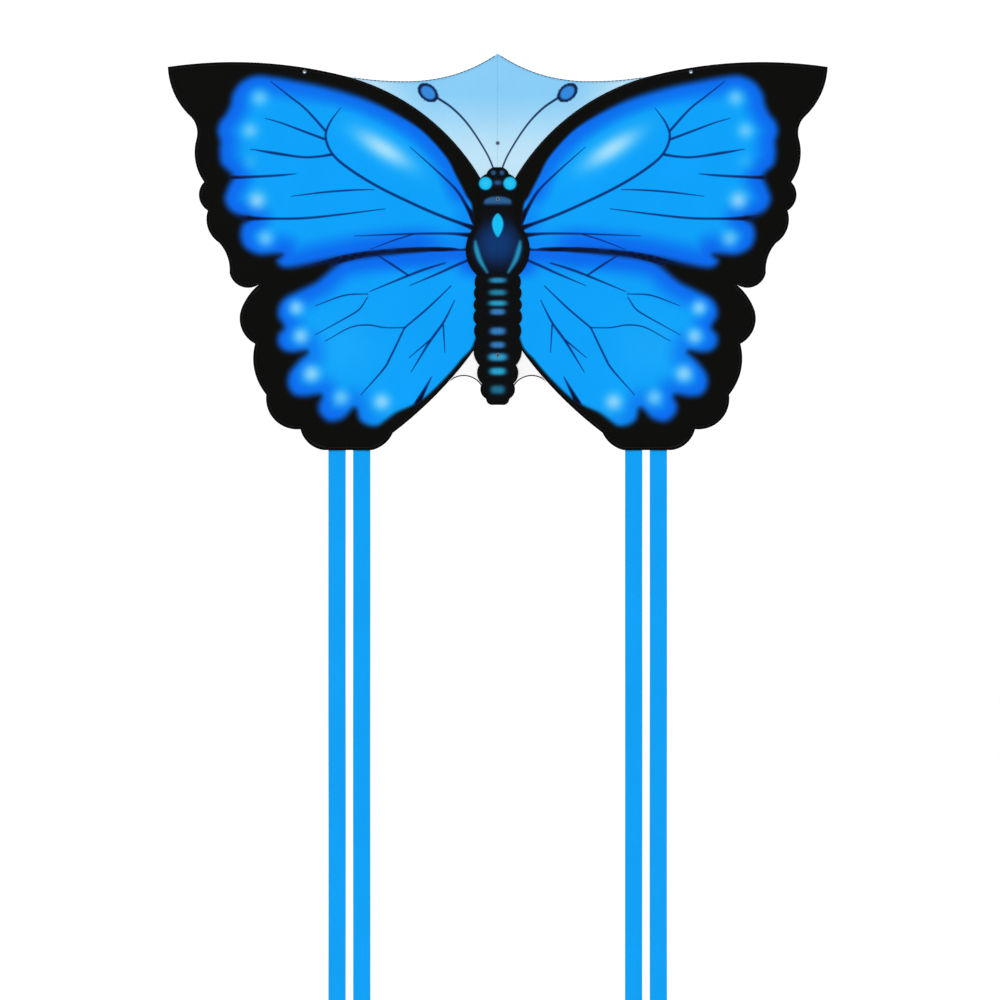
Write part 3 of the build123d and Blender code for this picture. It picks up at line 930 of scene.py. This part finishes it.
def circle(centre, radius):
    """Points round a circle."""
    angles = np.linspace(0, 2 * math.pi, CIRCLE_POINTS, endpoint=False)
    return np.stack([centre[0] + radius * np.cos(angles), centre[1] + radius * np.sin(angles)], 1)


def offset_inwards(line, loop, amount):
    """A line along a cut edge moved into the cloth."""
    moved = line + inward_normals(line, loop) * amount
    clear = distance_to(moved, loop, closed=True)[0] > 0.9 * amount
    return moved[clear & inside(moved, loop)]


def inward_normals(line, loop):
    """The unit normals of a stretch of a cut edge that point into the cloth."""
    across = normals_of(line)
    middle = len(line) // 2
    probe = line[middle:middle + 1] + across[middle:middle + 1]
    return across if inside(probe, loop)[0] else -across


def line_within(line, low, high):
    """A stretch of a line between two distances along it, finely spaced."""
    return at_distance(line, np.linspace(low, high, max(3, int((high - low) / 4.0)) + 1))


def extended(line, extra):
    """A line carried on straight past its end."""
    run = line[-1] - line[-2]
    return np.vstack([line, line[-1] + run / np.linalg.norm(run) * extra])


def grid_faces(rows, columns):
    """Faces of a thin solid from two grids of points: its front, then its back."""
    back = rows * columns
    faces = []
    for i in range(rows - 1):
        for j in range(columns - 1):
            a = i * columns + j
            b, c, d = a + 1, a + columns + 1, a + columns
            faces.append((d, c, b, a))
            faces.append((a + back, b + back, c + back, d + back))
    for i in range(rows - 1):
        a, d = i * columns, (i + 1) * columns
        faces.append((d, a, a + back, d + back))
        b, c = a + columns - 1, d + columns - 1
        faces.append((b, c, c + back, b + back))
    for j in range(columns - 1):
        faces.append((j, j + 1, j + 1 + back, j + back))
        a = (rows - 1) * columns + j
        faces.append((a + 1, a, a + back, a + 1 + back))
    return faces


def ring_faces(rings, count):
    """Faces between rings of points, the last of which closes on the first."""
    faces = []
    for ring in range(rings):
        here, after = ring * count, (ring + 1) % rings * count
        for k in range(count):
            following = (k + 1) % count
            faces.append((after + k, after + following, here + following, here + k))
    return faces


def strip_solid(inner, outer, low, thickness):
    """A thin closed strip between two (x, z) lines, whose front lies at y = low."""
    count = len(inner)
    high = low + thickness
    points = []
    for line, level in ((inner, low), (outer, low), (outer, high), (inner, high)):
        points += [(p[0], h, p[1]) for p, h in zip(line, level)]
    faces = []
    for k in range(count - 1):
        for ring in range(4):
            a, b = ring * count + k, ((ring + 1) % 4) * count + k
            faces.append((a, b, b + 1, a + 1))
    faces.append((0, 3 * count, 2 * count, count))
    end = count - 1
    faces.append((end, count + end, 2 * count + end, 3 * count + end))
    a, b, c = (np.array(points[i]) for i in faces[0][:3])
    if np.cross(b - a, c - a)[1] > 0:
        faces = [face[::-1] for face in faces]
    return points, faces


def joined(parts):
    """Several sets of points and faces as one."""
    points, faces = [], []
    for part_points, part_faces in parts:
        base = len(points)
        points += [tuple(p) for p in part_points]
        faces += [tuple(i + base for i in f) for f in part_faces]
    return points, faces


def cloth_part(name, parts, node, body, side=1, material=BLACK_CLOTH):
    """Sewn cloth that takes the place of a CAD node and rides on its body."""
    points, faces = joined(parts)
    piece = make_piece(name, points, faces, material, side)
    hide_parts(node)
    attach(piece, body)


# ---------------------------------------------------------------- sewing

STITCH = 3.2
STITCH_GAP = 1.6
STITCH_HALF = 0.42
# A stitch rises from the cloth, runs flat and goes down again: shares of its length and height
STITCH_PLACES = np.array([0.0, 0.22, 0.78, 1.0])
STITCH_LIFT = np.array([0.05, 1.0, 1.0, 0.05])


class Sewing:
    """The stitches of one piece of thread work, gathered into one mesh."""

    def __init__(self):
        self.points = []
        self.faces = []

    def run(self, line, y, out=-1, closed=False, length=STITCH, gap=STITCH_GAP, half=STITCH_HALF):
        """Stitches along an (x, z) line. y is a number or a function of points."""
        line = np.asarray(line, float)
        if closed:
            line = np.vstack([line, line[:1]])
        total = steps_along(line)[-1]
        for start in np.arange(gap / 2, total - length, length + gap):
            middle = at_distance(line, start + STITCH_PLACES * length)
            self.stitch(middle, y(middle) if callable(y) else np.full(len(middle), y), out, half)

    def stitch(self, middle, level, out, half):
        """One stitch: a flat four-sided bar with closed ends."""
        heading = middle[-1] - middle[0]
        heading /= max(np.linalg.norm(heading), 1e-9)
        across = np.array([-heading[1], heading[0]])
        base = len(self.points)
        for centre, here, rise in zip(middle, level, STITCH_LIFT):
            for u, w in ((-1, 0), (0, 1), (1, 0), (0, -0.5)):
                place = centre + across * u * half * (0.5 + 0.5 * rise)
                self.points.append((place[0], here + out * w * half * rise, place[1]))
        faces = []
        for k in range(len(middle) - 1):
            for j in range(4):
                a = base + 4 * k + j
                b = base + 4 * k + (j + 1) % 4
                faces.append((a, b, b + 4, a + 4))
        last = base + 4 * (len(middle) - 1)
        faces.append((base + 3, base + 2, base + 1, base))
        faces.append((last, last + 1, last + 2, last + 3))
        self.faces += faces if out < 0 else [face[::-1] for face in faces]

    def piece(self, name, side=1):
        return make_piece(name, self.points, self.faces, THREAD, side)


def front_level(points):
    """Where the printed face of the sail lies."""
    return -relief(points) - CLOTH / 2


def back_level(points):
    """Where the back of the sail lies."""
    return -relief(points) + CLOTH / 2


# ---------------------------------------------------------------- the sail

def body_half(loop):
    """The right half of the body's cut edge, and the same closed along the centre line."""
    edge = loop[loop[:, 0] > 0.05]
    gaps = np.linalg.norm(edge - np.roll(edge, -1, axis=0), axis=1)
    edge = np.roll(edge, -1 - int(np.argmax(gaps)), axis=0)
    return edge, np.vstack([[[0.0, edge[0][1]]], edge, [[0.0, edge[-1][1]]]])


def eyelet_place(node):
    """The (x, z) middle of an eyelet."""
    return tuple((sum(node_box(node)) / 2)[[0, 2]])


def edge_runs(loop, others, wanted, apart=0.8):
    """The wanted stretches of an outline that no other outline shares, as open lines."""
    dense = densified(loop, RIM_STEP)
    free = np.array([bool(wanted(p)) for p in dense])
    for other in others:
        free &= distance_to(dense, other, closed=True)[0] > apart
    start = int(np.flatnonzero(~free)[0])
    dense, free = np.roll(dense, -start, axis=0), np.roll(free, -start)
    runs, current = [], []
    for p, ok in zip(dense, free):
        if ok:
            current.append(p)
        else:
            runs.append(np.array(current))
            current = []
    runs.append(np.array(current))
    return [run for run in runs if len(run) > 4]


def seam_line():
    """The row of stitches that joins the leading edge to the top panel."""
    shared = densified(WING_LOOP, RIM_STEP)
    close = distance_to(shared, TOP_LOOP, closed=True)[0] < 0.8
    line = shared[close & (shared[:, 0] > FOLD_EDGE + 12.0)]
    line = line[np.argsort(line[:, 0])]
    return offset_inwards(line, WING_LOOP, 3.0)


WING_LOOP = to_centre(cut_edge("right_wing_sail"))
TOP_LOOP = to_centre(cut_edge("right_top_panel"), top=STRIP_HIGH[2])
TAIL_LOOP = to_centre(cut_edge("right_tail_panel"), bottom=STRIP_LOW[2] + 2.0)
BODY_EDGE, BODY_HALF = body_half(cut_edge("body_panel"))
WING_RUNS = edge_runs(WING_LOOP, [TOP_LOOP, TAIL_LOOP], lambda p: p[0] > FOLD_EDGE + 1.0)
TOP_RUNS = edge_runs(TOP_LOOP, [WING_LOOP], lambda p: p[0] > 0.5 and p[1] > 200.0)
TAIL_RUNS = edge_runs(TAIL_LOOP, [WING_LOOP], lambda p: p[0] > FOLD_EDGE and p[1] < -340.0)
LEADING_SEAM = seam_line()

WING_EYELET = eyelet_place("right_wing_eyelet")
SPINE_EYELETS = [eyelet_place(name) for name in ("top_eyelet", "middle_eyelet", "lower_eyelet")]
TOP_HOLE, MIDDLE_HOLE, LOWER_HOLE = ((centre, HOLE_R) for centre in SPINE_EYELETS)


def lap_over(points):
    """The right half laps over the left one on the centre line."""
    middle = np.flatnonzero(points[:, 0] < 0.01)
    points[middle, 0] = -CENTRE_LAP
    points[middle, 1] -= CENTRE_LAP_STEP


def sheet_piece(name, masks, material, node, side, cut, level):
    """A cloth panel of the sail: a thin sheet at a level."""
    flat, faces = cut
    points, whole, rim = thickened(flat, faces, level, CLOTH)
    if side > 0:
        lap_over(points)
    piece = make_piece(name, points, whole, material, side, both_faces(masks), rim)
    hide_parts(node)
    bend_at_fold(piece)


def build_sail():
    """The wing, top and tail panels of both sides."""
    veins = [flowing(vein, PRINT_STEP) for vein in UPPER_VEINS + DIVIDER + LOWER_VEINS]
    feelers = [flowing(ANTENNA, 3.0)]
    wing_cut = cut_cloth(WING_LOOP, veins + crisp_edges(),
                         holes=[(WING_EYELET, HOLE_R), MIDDLE_HOLE])
    wing_masks = wing_print(wing_cut[0], WING_RUNS, veins)
    top_cut = cut_cloth(TOP_LOOP, feelers, step=2.6, holes=[TOP_HOLE])
    top_masks = top_print(top_cut[0], TOP_RUNS, feelers)
    tail_hem = [with_width(offset_inwards(run, TAIL_LOOP, TAIL_HEM), 1.0) for run in TAIL_RUNS]
    tail_cut = cut_cloth(TAIL_LOOP, tail_hem, step=3.5, holes=[LOWER_HOLE])
    tail_masks = {"hem": hem_mask(tail_cut[0], TAIL_RUNS, TAIL_HEM, 0.3)}
    panels = (
        ("wing_cloth", WING_LOOP, wing_masks, WING_CLOTH, "wing_cloth", "wing_sail", wing_cut),
        ("top_cloth", TOP_LOOP, top_masks, TOP_CLOTH, "clear_cloth", "top_panel", top_cut),
        ("tail_cloth", TAIL_LOOP, tail_masks, TAIL_CLOTH, "white_cloth", "tail_panel", tail_cut),
    )
    for word, side in SIDES:
        for name, loop, masks, material, slot, node, cut in panels:
            sheet_piece(f"{word}_{name}", masks, material, f"{word}_{node}", side,
                        cut, -relief(cut[0]))


def build_body():
    """The printed body, padded between its edge and the eyelets, in two halves."""
    holes = [MIDDLE_HOLE, LOWER_HOLE]
    cut = cut_cloth(BODY_HALF, step=1.9, rim_step=2.0, holes=holes)
    flat = cut[0]
    edge, _ = distance_to(flat, BODY_EDGE)
    padding = -1.1 * ease(edge, 2.0, 16.0)
    near_eyelet = np.minimum(*[np.linalg.norm(flat - np.array(c), axis=1) for c, _ in holes])
    level = BODY_Y + padding * ease(near_eyelet, 4.0, 14.0)
    masks = body_print(flat, BODY_EDGE)
    for word, side in reversed(SIDES):
        sheet_piece(word + "_body_cloth", masks, BODY_CLOTH,
                    "body_panel", side, cut, level)


def hem_strip(run, loop, width):
    """A turned hem lying on the back of the cloth along a cut edge."""
    across = inward_normals(run, loop)
    return strip_solid(run + across * 0.3, run + across * width, back_level(run) - 0.02, HEM_CLOTH)


def build_edges():
    """The turned hems of the sail, on its back, and the rows of stitches seen from the front."""
    hems = [hem_strip(run, WING_LOOP, HEM_WIDTH) for run in WING_RUNS]
    hems += [hem_strip(run, TOP_LOOP, TOP_HEM_WIDTH) for run in TOP_RUNS]
    points, faces = joined(hems)
    thread = Sewing()
    for run in WING_RUNS:
        thread.run(offset_inwards(run, WING_LOOP, 5.5), front_level)
    for run in TOP_RUNS:
        thread.run(offset_inwards(run, TOP_LOOP, 0.9), front_level, length=6.5, gap=1.3, half=0.8)
    for run in TAIL_RUNS:
        thread.run(offset_inwards(run, TAIL_LOOP, 1.1), front_level)
    thread.run(LEADING_SEAM, front_level)
    for word, side in SIDES:
        hem = make_piece(word + "_turned_hems", points, faces, BLACK_CLOTH, side)
        bend_at_fold(hem)
        bend_at_fold(thread.piece(word + "_sail_stitching", side))


# ---------------------------------------------------------------- behind the sail

# Cloth sewn down over a rod: its flanges lie on the sail, and a hump with a foot on each side
# runs over the rod
BACKING = 0.35
BACKING_GAP = 0.12
ROD_SLACK = 0.25
FOOT_OUTER = 2.6
FOOT_INNER = 1.8
SEWN_HALF = 9.0
KEEPER_HALF = 8.0
KEEPER_LENGTH = 16.0
# A pocket is a little wider than its rod, overlaps the rod and reaches past its end
POCKET_EASE = 0.6
POCKET_LENGTH = 20.0
POCKET_PAST = 4.5
PAST_END = 8.0
# Stitches beside a rod, and closer ones on keepers: distance from the edge, length and gap
LONG_STITCHES = (1.6, STITCH, STITCH_GAP)
SHORT_STITCHES = (1.4, 2.4, 1.0)
SPAR = (SPAR_R, SPAR_Y)
SPINE = (SPINE_R, SPINE_Y)
# Distances along the leading edge: the first sleeve's start, the gaps on both sides of the
# eyelet, and how far from the tip the last sleeve ends and the pocket begins and ends
SLEEVE_START = 37.0
EYELET_CLEAR_INNER = 28.0
EYELET_CLEAR_OUTER = 20.0
SLEEVE_END = 24.0
TIP_POCKET_START = 22.0
TIP_POCKET_PAST = 3.5
# Round patches behind the eyelets
PATCH_R = 7.0
PATCH_HOLE_R = 2.6
PATCH_SEAM_R = 5.8
# The spine's tape and the heights of its keepers
TAPE_CLOTH = 0.3
TAPE_TOP_POINT, TAPE_TOP_CORNER = 1.0, 8.5
TAPE_LOW_POINT, TAPE_LOW_CORNER = 1.0, 5.0
SPINE_KEEPERS = (190.0, 60.0, -170.0, -260.0)
TAB_COLUMNS = 13
TAB_MARGIN = 2.2


def channel(line, half_width, rod, closed_end):
    """Cloth sewn down on both sides of a rod: flat flanges and a hump over the rod."""
    rod_r, rod_y = rod
    across = normals_of(line)
    crown = rod_r + ROD_SLACK
    offsets = np.concatenate([
        np.linspace(-half_width, -crown - FOOT_OUTER, 4),
        np.linspace(-crown - FOOT_INNER, crown + FOOT_INNER, 13),
        np.linspace(crown + FOOT_OUTER, half_width, 4),
    ])
    hump = ease(np.abs(offsets), crown + FOOT_OUTER, crown * 0.55)
    foot_y = CLOTH / 2 + BACKING_GAP
    height = np.full(len(line), rod_y + rod_r + ROD_SLACK - foot_y)
    if closed_end:
        along = steps_along(line)
        height *= 0.04 + 0.96 * ease(along[-1] - along, 0.0, 9.0)
    x = line[:, :1] + across[:, :1] * offsets
    z = line[:, 1:] + across[:, 1:] * offsets
    under = np.stack([x, foot_y + height[:, None] * hump, z], -1).reshape(-1, 3)
    over = under + np.array([0.0, BACKING, 0.0])
    faces = [face[::-1] for face in grid_faces(len(line), len(offsets))]
    return np.vstack([under, over]), faces


def sewn_channels(name, lines, half, rod, node, body, side, thread, closed_end=False,
                  stitches=LONG_STITCHES):
    """Cloth over a rod along each of some lines, stitched down on both sides and at a closed end."""
    inset, length, gap = stitches
    level = CLOTH / 2 + BACKING_GAP + BACKING
    parts = []
    for line in lines:
        parts.append(channel(line, half, rod, closed_end))
        across = normals_of(line)
        for edge in (-1, 1):
            thread.run(line + across * edge * (half - inset), level, out=1, length=length, gap=gap)
        if closed_end:
            run = line[-1] - line[-2]
            end = line[-1] - run / np.linalg.norm(run) * 1.5
            reach = across[-1] * (half - inset)
            thread.run(np.array([end - reach, end + reach]), level + 0.2, out=1)
    cloth_part(name, parts, node, body, side)


def end_pocket(name, rod_line, rod, body, side, thread):
    """A pocket sewn over the end of a straight rod."""
    reach = steps_along(rod_line)[-1]
    line = line_within(extended(rod_line, PAST_END), reach - POCKET_LENGTH, reach + POCKET_PAST)
    sewn_channels(name + "_cloth", [line], SEWN_HALF, (rod[0] + POCKET_EASE, rod[1]), name, body,
                  side, thread, closed_end=True)


def keepers(name, rod_line, places, rod, node, body, side, thread):
    """Short loops sewn over a rod, at distances along it."""
    half = KEEPER_LENGTH / 2
    lines = [line_within(rod_line, place - half, place + half) for place in places]
    sewn_channels(name, lines, KEEPER_HALF, rod, node, body, side, thread, stitches=SHORT_STITCHES)


def eyelet_patch(centre, y, thread, thread_y):
    """A round patch behind an eyelet, sewn round its edge."""
    thread.run(circle(centre, PATCH_SEAM_R), thread_y, out=1, closed=True, length=1.8, gap=0.8)
    points = []
    for radius, level in ((PATCH_HOLE_R, y), (PATCH_R, y),
                          (PATCH_R, y + BACKING), (PATCH_HOLE_R, y + BACKING)):
        points += [(x, level, z) for x, z in circle(centre, radius)]
    return points, ring_faces(4, CIRCLE_POINTS)


def spar_stretches():
    """Where each sleeve and pocket of the leading edge begins and ends along the spar."""
    along = steps_along(LEADING)
    tip = along[-1]
    eyelet = along[np.argmin(np.abs(LEADING[:, 0] - WING_EYELET[0]))]
    return {"inner_sleeve": (SLEEVE_START, eyelet - EYELET_CLEAR_INNER),
            "outer_sleeve": (eyelet + EYELET_CLEAR_OUTER, tip - SLEEVE_END),
            "tip_pocket": (tip - TIP_POCKET_START, tip + TIP_POCKET_PAST)}


def keeper_places():
    """Distances along the lower spar to the middles of its three keeper loops."""
    low, high = node_box("right_lower_spar_loops")
    run = LOWER_SPAR[1] - LOWER_SPAR[0]
    fall = run[1] / np.linalg.norm(run)
    first = (high[2] - LOWER_SPAR[0][1]) / fall + 11.5
    last = (low[2] - LOWER_SPAR[0][1]) / fall - 11.5
    return np.linspace(first, last, 3)


def ribbon_tab(left, right, thread):
    """A flat tab sewn with a box and a cross."""
    low, high = TABS_LOW[2] + 0.6, TABS_HIGH[2]
    y = CLOTH / 2 + HEM_CLOTH + 0.05
    columns = np.linspace(left, right, TAB_COLUMNS)
    inner, outer = (np.column_stack([columns, np.full(TAB_COLUMNS, z)]) for z in (low, high))
    left, right, low, high = (left + TAB_MARGIN, right - TAB_MARGIN, low + TAB_MARGIN,
                              high - TAB_MARGIN)
    corners = np.array([(left, low), (right, low), (right, high), (left, high)])
    for line, closed in ((corners, True), (corners[[0, 2]], False), (corners[[1, 3]], False)):
        thread.run(line, y + 0.38, out=1, closed=closed, length=2.2, gap=1.0)
    return strip_solid(inner, outer, np.full(TAB_COLUMNS, y), BACKING)


def build_wing_hardware(word, side):
    """Sleeves, pockets, loops, patches and tabs behind one wing."""
    body = word + "_wing"
    thread = Sewing()
    leading = extended(LEADING, PAST_END)
    for label, (low, high) in spar_stretches().items():
        name = f"{word}_{label}"
        is_pocket = label == "tip_pocket"
        rod = (SPAR_R + POCKET_EASE, SPAR_Y) if is_pocket else SPAR
        sewn_channels(name + "_cloth", [line_within(leading, low, high)], SEWN_HALF, rod, name,
                      body, side, thread, closed_end=is_pocket)
    end_pocket(word + "_lobe_pocket", LOWER_SPAR, SPAR, body, side, thread)
    keepers(word + "_spar_loop_cloth", extended(LOWER_SPAR, PAST_END), keeper_places(), SPAR,
            word + "_lower_spar_loops", body, side, thread)
    patch = eyelet_patch(WING_EYELET, CLOTH / 2 + 0.05, thread, CLOTH / 2 + 0.4)
    cloth_part(word + "_eyelet_patch_cloth", [patch], word + "_wing_eyelet_patch", body, side)
    tabs = []
    for kind in RIBBONS:
        low, high = node_box(f"right_{kind}_ribbon")
        tabs.append(ribbon_tab(low[0] + 0.5, high[0] - 0.5, thread))
    cloth_part(word + "_ribbon_tab_cloth", tabs, word + "_ribbon_tabs", body, side, RIBBON_CLOTH)
    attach(thread.piece(word + "_back_stitching", side), body)


def build_tape(thread):
    """The tape down the middle, pointed at both ends, that both halves are sewn to."""
    half = STRIP_HIGH[0] - 0.4
    top, bottom = STRIP_HIGH[2], STRIP_LOW[2]
    outline = np.array([
        (-half, bottom + TAPE_LOW_CORNER), (0.0, bottom + TAPE_LOW_POINT),
        (half, bottom + TAPE_LOW_CORNER), (half, top - TAPE_TOP_CORNER),
        (0.0, top - TAPE_TOP_POINT), (-half, top - TAPE_TOP_CORNER),
    ])
    flat, faces = cut_cloth(outline, step=4.0, holes=[TOP_HOLE, MIDDLE_HOLE, LOWER_HOLE])
    points, whole, rim = thickened(flat, faces, np.full(len(flat), CLOTH / 2 + 0.2), TAPE_CLOTH)
    piece = make_piece("spine_tape", points, whole, BLACK_CLOTH, flat_faces=rim)
    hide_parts("spine_strip")
    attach(piece, "spine")
    for x in (-half + 1.8, half - 1.8):
        thread.run(np.array([(x, bottom + 8.0), (x, top - 14.0)]), CLOTH / 2 + 0.36, out=1)


def build_spine_cloth():
    """The tape, pockets, keepers and patches on the centre line."""
    thread = Sewing()
    build_tape(thread)
    up = np.array([(0.0, SPINE_LOW[2]), (0.0, SPINE_HIGH[2])])
    end_pocket("nose_pocket", up, SPINE, "spine", 1, thread)
    end_pocket("tail_pocket", up[::-1], SPINE, "spine", 1, thread)
    keepers("spine_loop_cloth", up, [z - SPINE_LOW[2] for z in SPINE_KEEPERS], SPINE,
            "spine_loops", "spine", 1, thread)
    level = CLOTH / 2 + 0.36
    patches = [eyelet_patch(centre, level, thread, level + 0.36) for centre in SPINE_EYELETS]
    cloth_part("spine_patch_cloth", patches, "spine_patches", "spine")
    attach(thread.piece("spine_stitching"), "spine")


# ---------------------------------------------------------------- joiner tubes

# Each tube: its angle, where it starts and ends, and the stretch between stub and spar at the fold
JOINERS = {
    "upper": (UPPER_ANGLE, 19.5, 44.0, 29.5, 34.2),
    "lower": (LOWER_ANGLE, 11.0, 36.0, 18.4, 22.8),
}
JOINER_R = 2.6
JOINER_BORE_R = 1.65
JOINER_ROUNDING = 0.35
JOINER_RINGS = 48
JOINER_SIDES = 32


def build_joiner(word, side, kind):
    """A soft tube over a stub of the hub and a spar."""
    angle, first, last, bend_from, bend_to = JOINERS[kind]
    way = np.array([math.cos(math.radians(angle)), 0.0, math.sin(math.radians(angle))])
    across = np.array([-way[2], 0.0, way[0]])
    hub = np.array([0.0, SPAR_Y, HUB_Z])
    along = np.linspace(first + JOINER_ROUNDING, last - JOINER_ROUNDING, JOINER_RINGS)
    profile = [(first, JOINER_R - JOINER_ROUNDING)]
    profile += [(distance, JOINER_R) for distance in along]
    profile += [(last, JOINER_R - JOINER_ROUNDING), (last, JOINER_BORE_R)]
    profile += [(distance, JOINER_BORE_R) for distance in along[::-1]]
    profile += [(first, JOINER_BORE_R)]
    points = []
    for distance, radius in profile:
        for k in range(JOINER_SIDES):
            turn = 2 * math.pi * k / JOINER_SIDES
            out = across * math.cos(turn) + np.array([0.0, 1.0, 0.0]) * math.sin(turn)
            points.append(hub + way * distance + out * radius)
    node = f"{word}_{kind}_joiner"
    piece = make_piece(node + "_tube", points, ring_faces(len(profile), JOINER_SIDES),
                       HARD["joiner_tube"], side)
    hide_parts(node)
    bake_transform(piece)


# ---------------------------------------------------------------- ribbons

RIBBON_COLUMNS = 14
RIBBON_ROWS = 240
# The woven edges are thicker than the ribbon between them
RIBBON_THICK = 0.34
SELVEDGE = 1.6
SELVEDGE_THICK = 0.50
# A slow sway along the ribbon, out of step between inner and outer, and a curl across it
SWAY = 3.2
SWAY_TURN = 0.0072
SWAY_PHASE = {"inner": 0.4, "outer": 2.1}
CURL = 0.9
# The top of the ribbon stands off the hem that it is sewn to
STAND_OFF = 0.75


def build_ribbon(word, side, kind):
    """One satin ribbon tail with woven selvedges, hanging with a slight wave."""
    node = f"{word}_{kind}_ribbon"
    low, high = node_box(f"right_{kind}_ribbon")
    width = high[0] - low[0]
    top, bottom = TABS_LOW[2] + 2.0, low[2] + 0.5
    edge = np.array([0.0, 0.3, SELVEDGE, SELVEDGE + 0.3]) / width
    middle = np.linspace(edge[-1], 1 - edge[-1], RIBBON_COLUMNS)[1:-1]
    across = np.concatenate([edge, middle, 1 - edge[::-1]])
    u, v = np.meshgrid(across, np.linspace(0.0, 1.0, RIBBON_ROWS))
    x = low[0] + u * width
    z = top + (bottom - top) * v
    drop = v * (top - bottom)
    sway = SWAY * np.sin(drop * SWAY_TURN + SWAY_PHASE[kind]) * ease(drop, 10.0, 260.0)
    curl = CURL * (2 * u - 1) ** 2 * ease(drop, 20.0, 400.0)
    y = sway + curl + STAND_OFF * ease(drop, 14.0, 2.5)
    is_edge = np.minimum(u, 1 - u) * width < SELVEDGE + 0.1
    thick = np.where(is_edge, SELVEDGE_THICK, RIBBON_THICK)
    front, back = (np.stack([x, y + way * thick / 2, z], -1).reshape(-1, 3) for way in (-1, 1))
    piece = make_piece(node + "_cloth", np.vstack([front, back]), grid_faces(*u.shape),
                       RIBBON_CLOTH, side)
    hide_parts(node)
    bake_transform(piece)


# ---------------------------------------------------------------- hard pieces

def finish_hard_pieces():
    """Rods, hub, caps and eyelets keep their CAD shape and take a real finish."""
    slots = {s["node"]: s["material_slot"] for s in frame["record"]["subparts"]}
    for name, piece in frame["nodes"].items():
        if slots[name] in HARD and not name.endswith("_joiner"):
            piece.data.materials.clear()
            piece.data.materials.append(HARD[slots[name]])


# ---------------------------------------------------------------- stage, light and camera

# Metres: what the camera sees across, its place, and the floor's half width
VIEW_WIDTH = 1.967
CAMERA_DISTANCE = 6.0
CAMERA_X = 0.0045
CAMERA_Z = -0.592
FLOOR_HALF = 12.0
SENSOR = 36.0

SKY_STRENGTH = 1.06
LIT_PLACE = (0, 0, -0.3)
# Each lamp: where it hangs, its width and height, and its power
LAMPS = {
    "key": ((-3.2, -4.5, 2.6), (3.0, 3.0), 26.0),
    "fill": ((3.6, -4.0, 0.4), (2.5, 3.5), 8.0),
    "behind": ((0.5, 1.5, 2.2), (2.5, 1.5), 14.0),
}


def floor_material():
    """Matt paper with two close tones."""
    material, tree, surface = empty_material("pale floor")
    noise = add_node(tree, "ShaderNodeTexNoise", Scale=3.0)
    tone = mixed(tree, noise.outputs["Fac"], (0.95, 0.95, 0.95, 1), (0.97, 0.97, 0.97, 1))
    tree.links.new(tone, surface.inputs["Base Color"])
    surface.inputs["Roughness"].default_value = 0.9
    surface.inputs["Specular IOR Level"].default_value = 0.1
    return material


def build_stage():
    """A plain pale floor."""
    z = CAD_BOX[0][2] - 0.05
    corners = [(x * FLOOR_HALF, y * FLOOR_HALF, z) for x, y in ((-1, -1), (1, -1), (1, 1), (-1, 1))]
    mesh = bpy.data.meshes.new("floor")
    mesh.from_pydata(corners, [], [(0, 1, 2, 3)])
    mesh.materials.append(floor_material())
    floor = bpy.data.objects.new("floor", mesh)
    bpy.context.scene.collection.objects.link(floor)


def build_light():
    """Soft daylight all round, with one large light from the upper left."""
    world = bpy.data.worlds.new("soft daylight")
    world.use_nodes = True
    sky = world.node_tree.nodes["Background"]
    sky.inputs["Color"].default_value = (1.0, 1.0, 1.0, 1.0)
    sky.inputs["Strength"].default_value = SKY_STRENGTH
    bpy.context.scene.world = world
    for name, (place, size, power) in LAMPS.items():
        light = bpy.data.lights.new(name, "AREA")
        light.shape = "RECTANGLE"
        light.size, light.size_y = size
        light.energy = power
        lamp = bpy.data.objects.new(name, light)
        lamp.location = place
        aim = Vector(LIT_PLACE) - Vector(place)
        lamp.rotation_euler = aim.to_track_quat("-Z", "Y").to_euler()
        bpy.context.scene.collection.objects.link(lamp)
    bpy.context.scene.view_settings.view_transform = "Standard"


def build_camera():
    """Head on to the printed face."""
    camera = bpy.data.cameras.new("camera")
    camera.sensor_width = SENSOR
    camera.lens = SENSOR * CAMERA_DISTANCE / VIEW_WIDTH
    holder = bpy.data.objects.new("camera", camera)
    holder.location = (CAMERA_X, -CAMERA_DISTANCE, CAMERA_Z)
    holder.rotation_euler = (math.radians(90.0), 0.0, 0.0)
    bpy.context.scene.collection.objects.link(holder)
    bpy.context.scene.camera = holder


build_camera()
build_light()
build_stage()
build_sail()
build_body()
build_edges()
build_spine_cloth()
for word, side in SIDES:
    build_wing_hardware(word, side)
    for kind in JOINERS:
        build_joiner(word, side, kind)
    for kind in RIBBONS:
        build_ribbon(word, side, kind)
finish_hard_pieces()
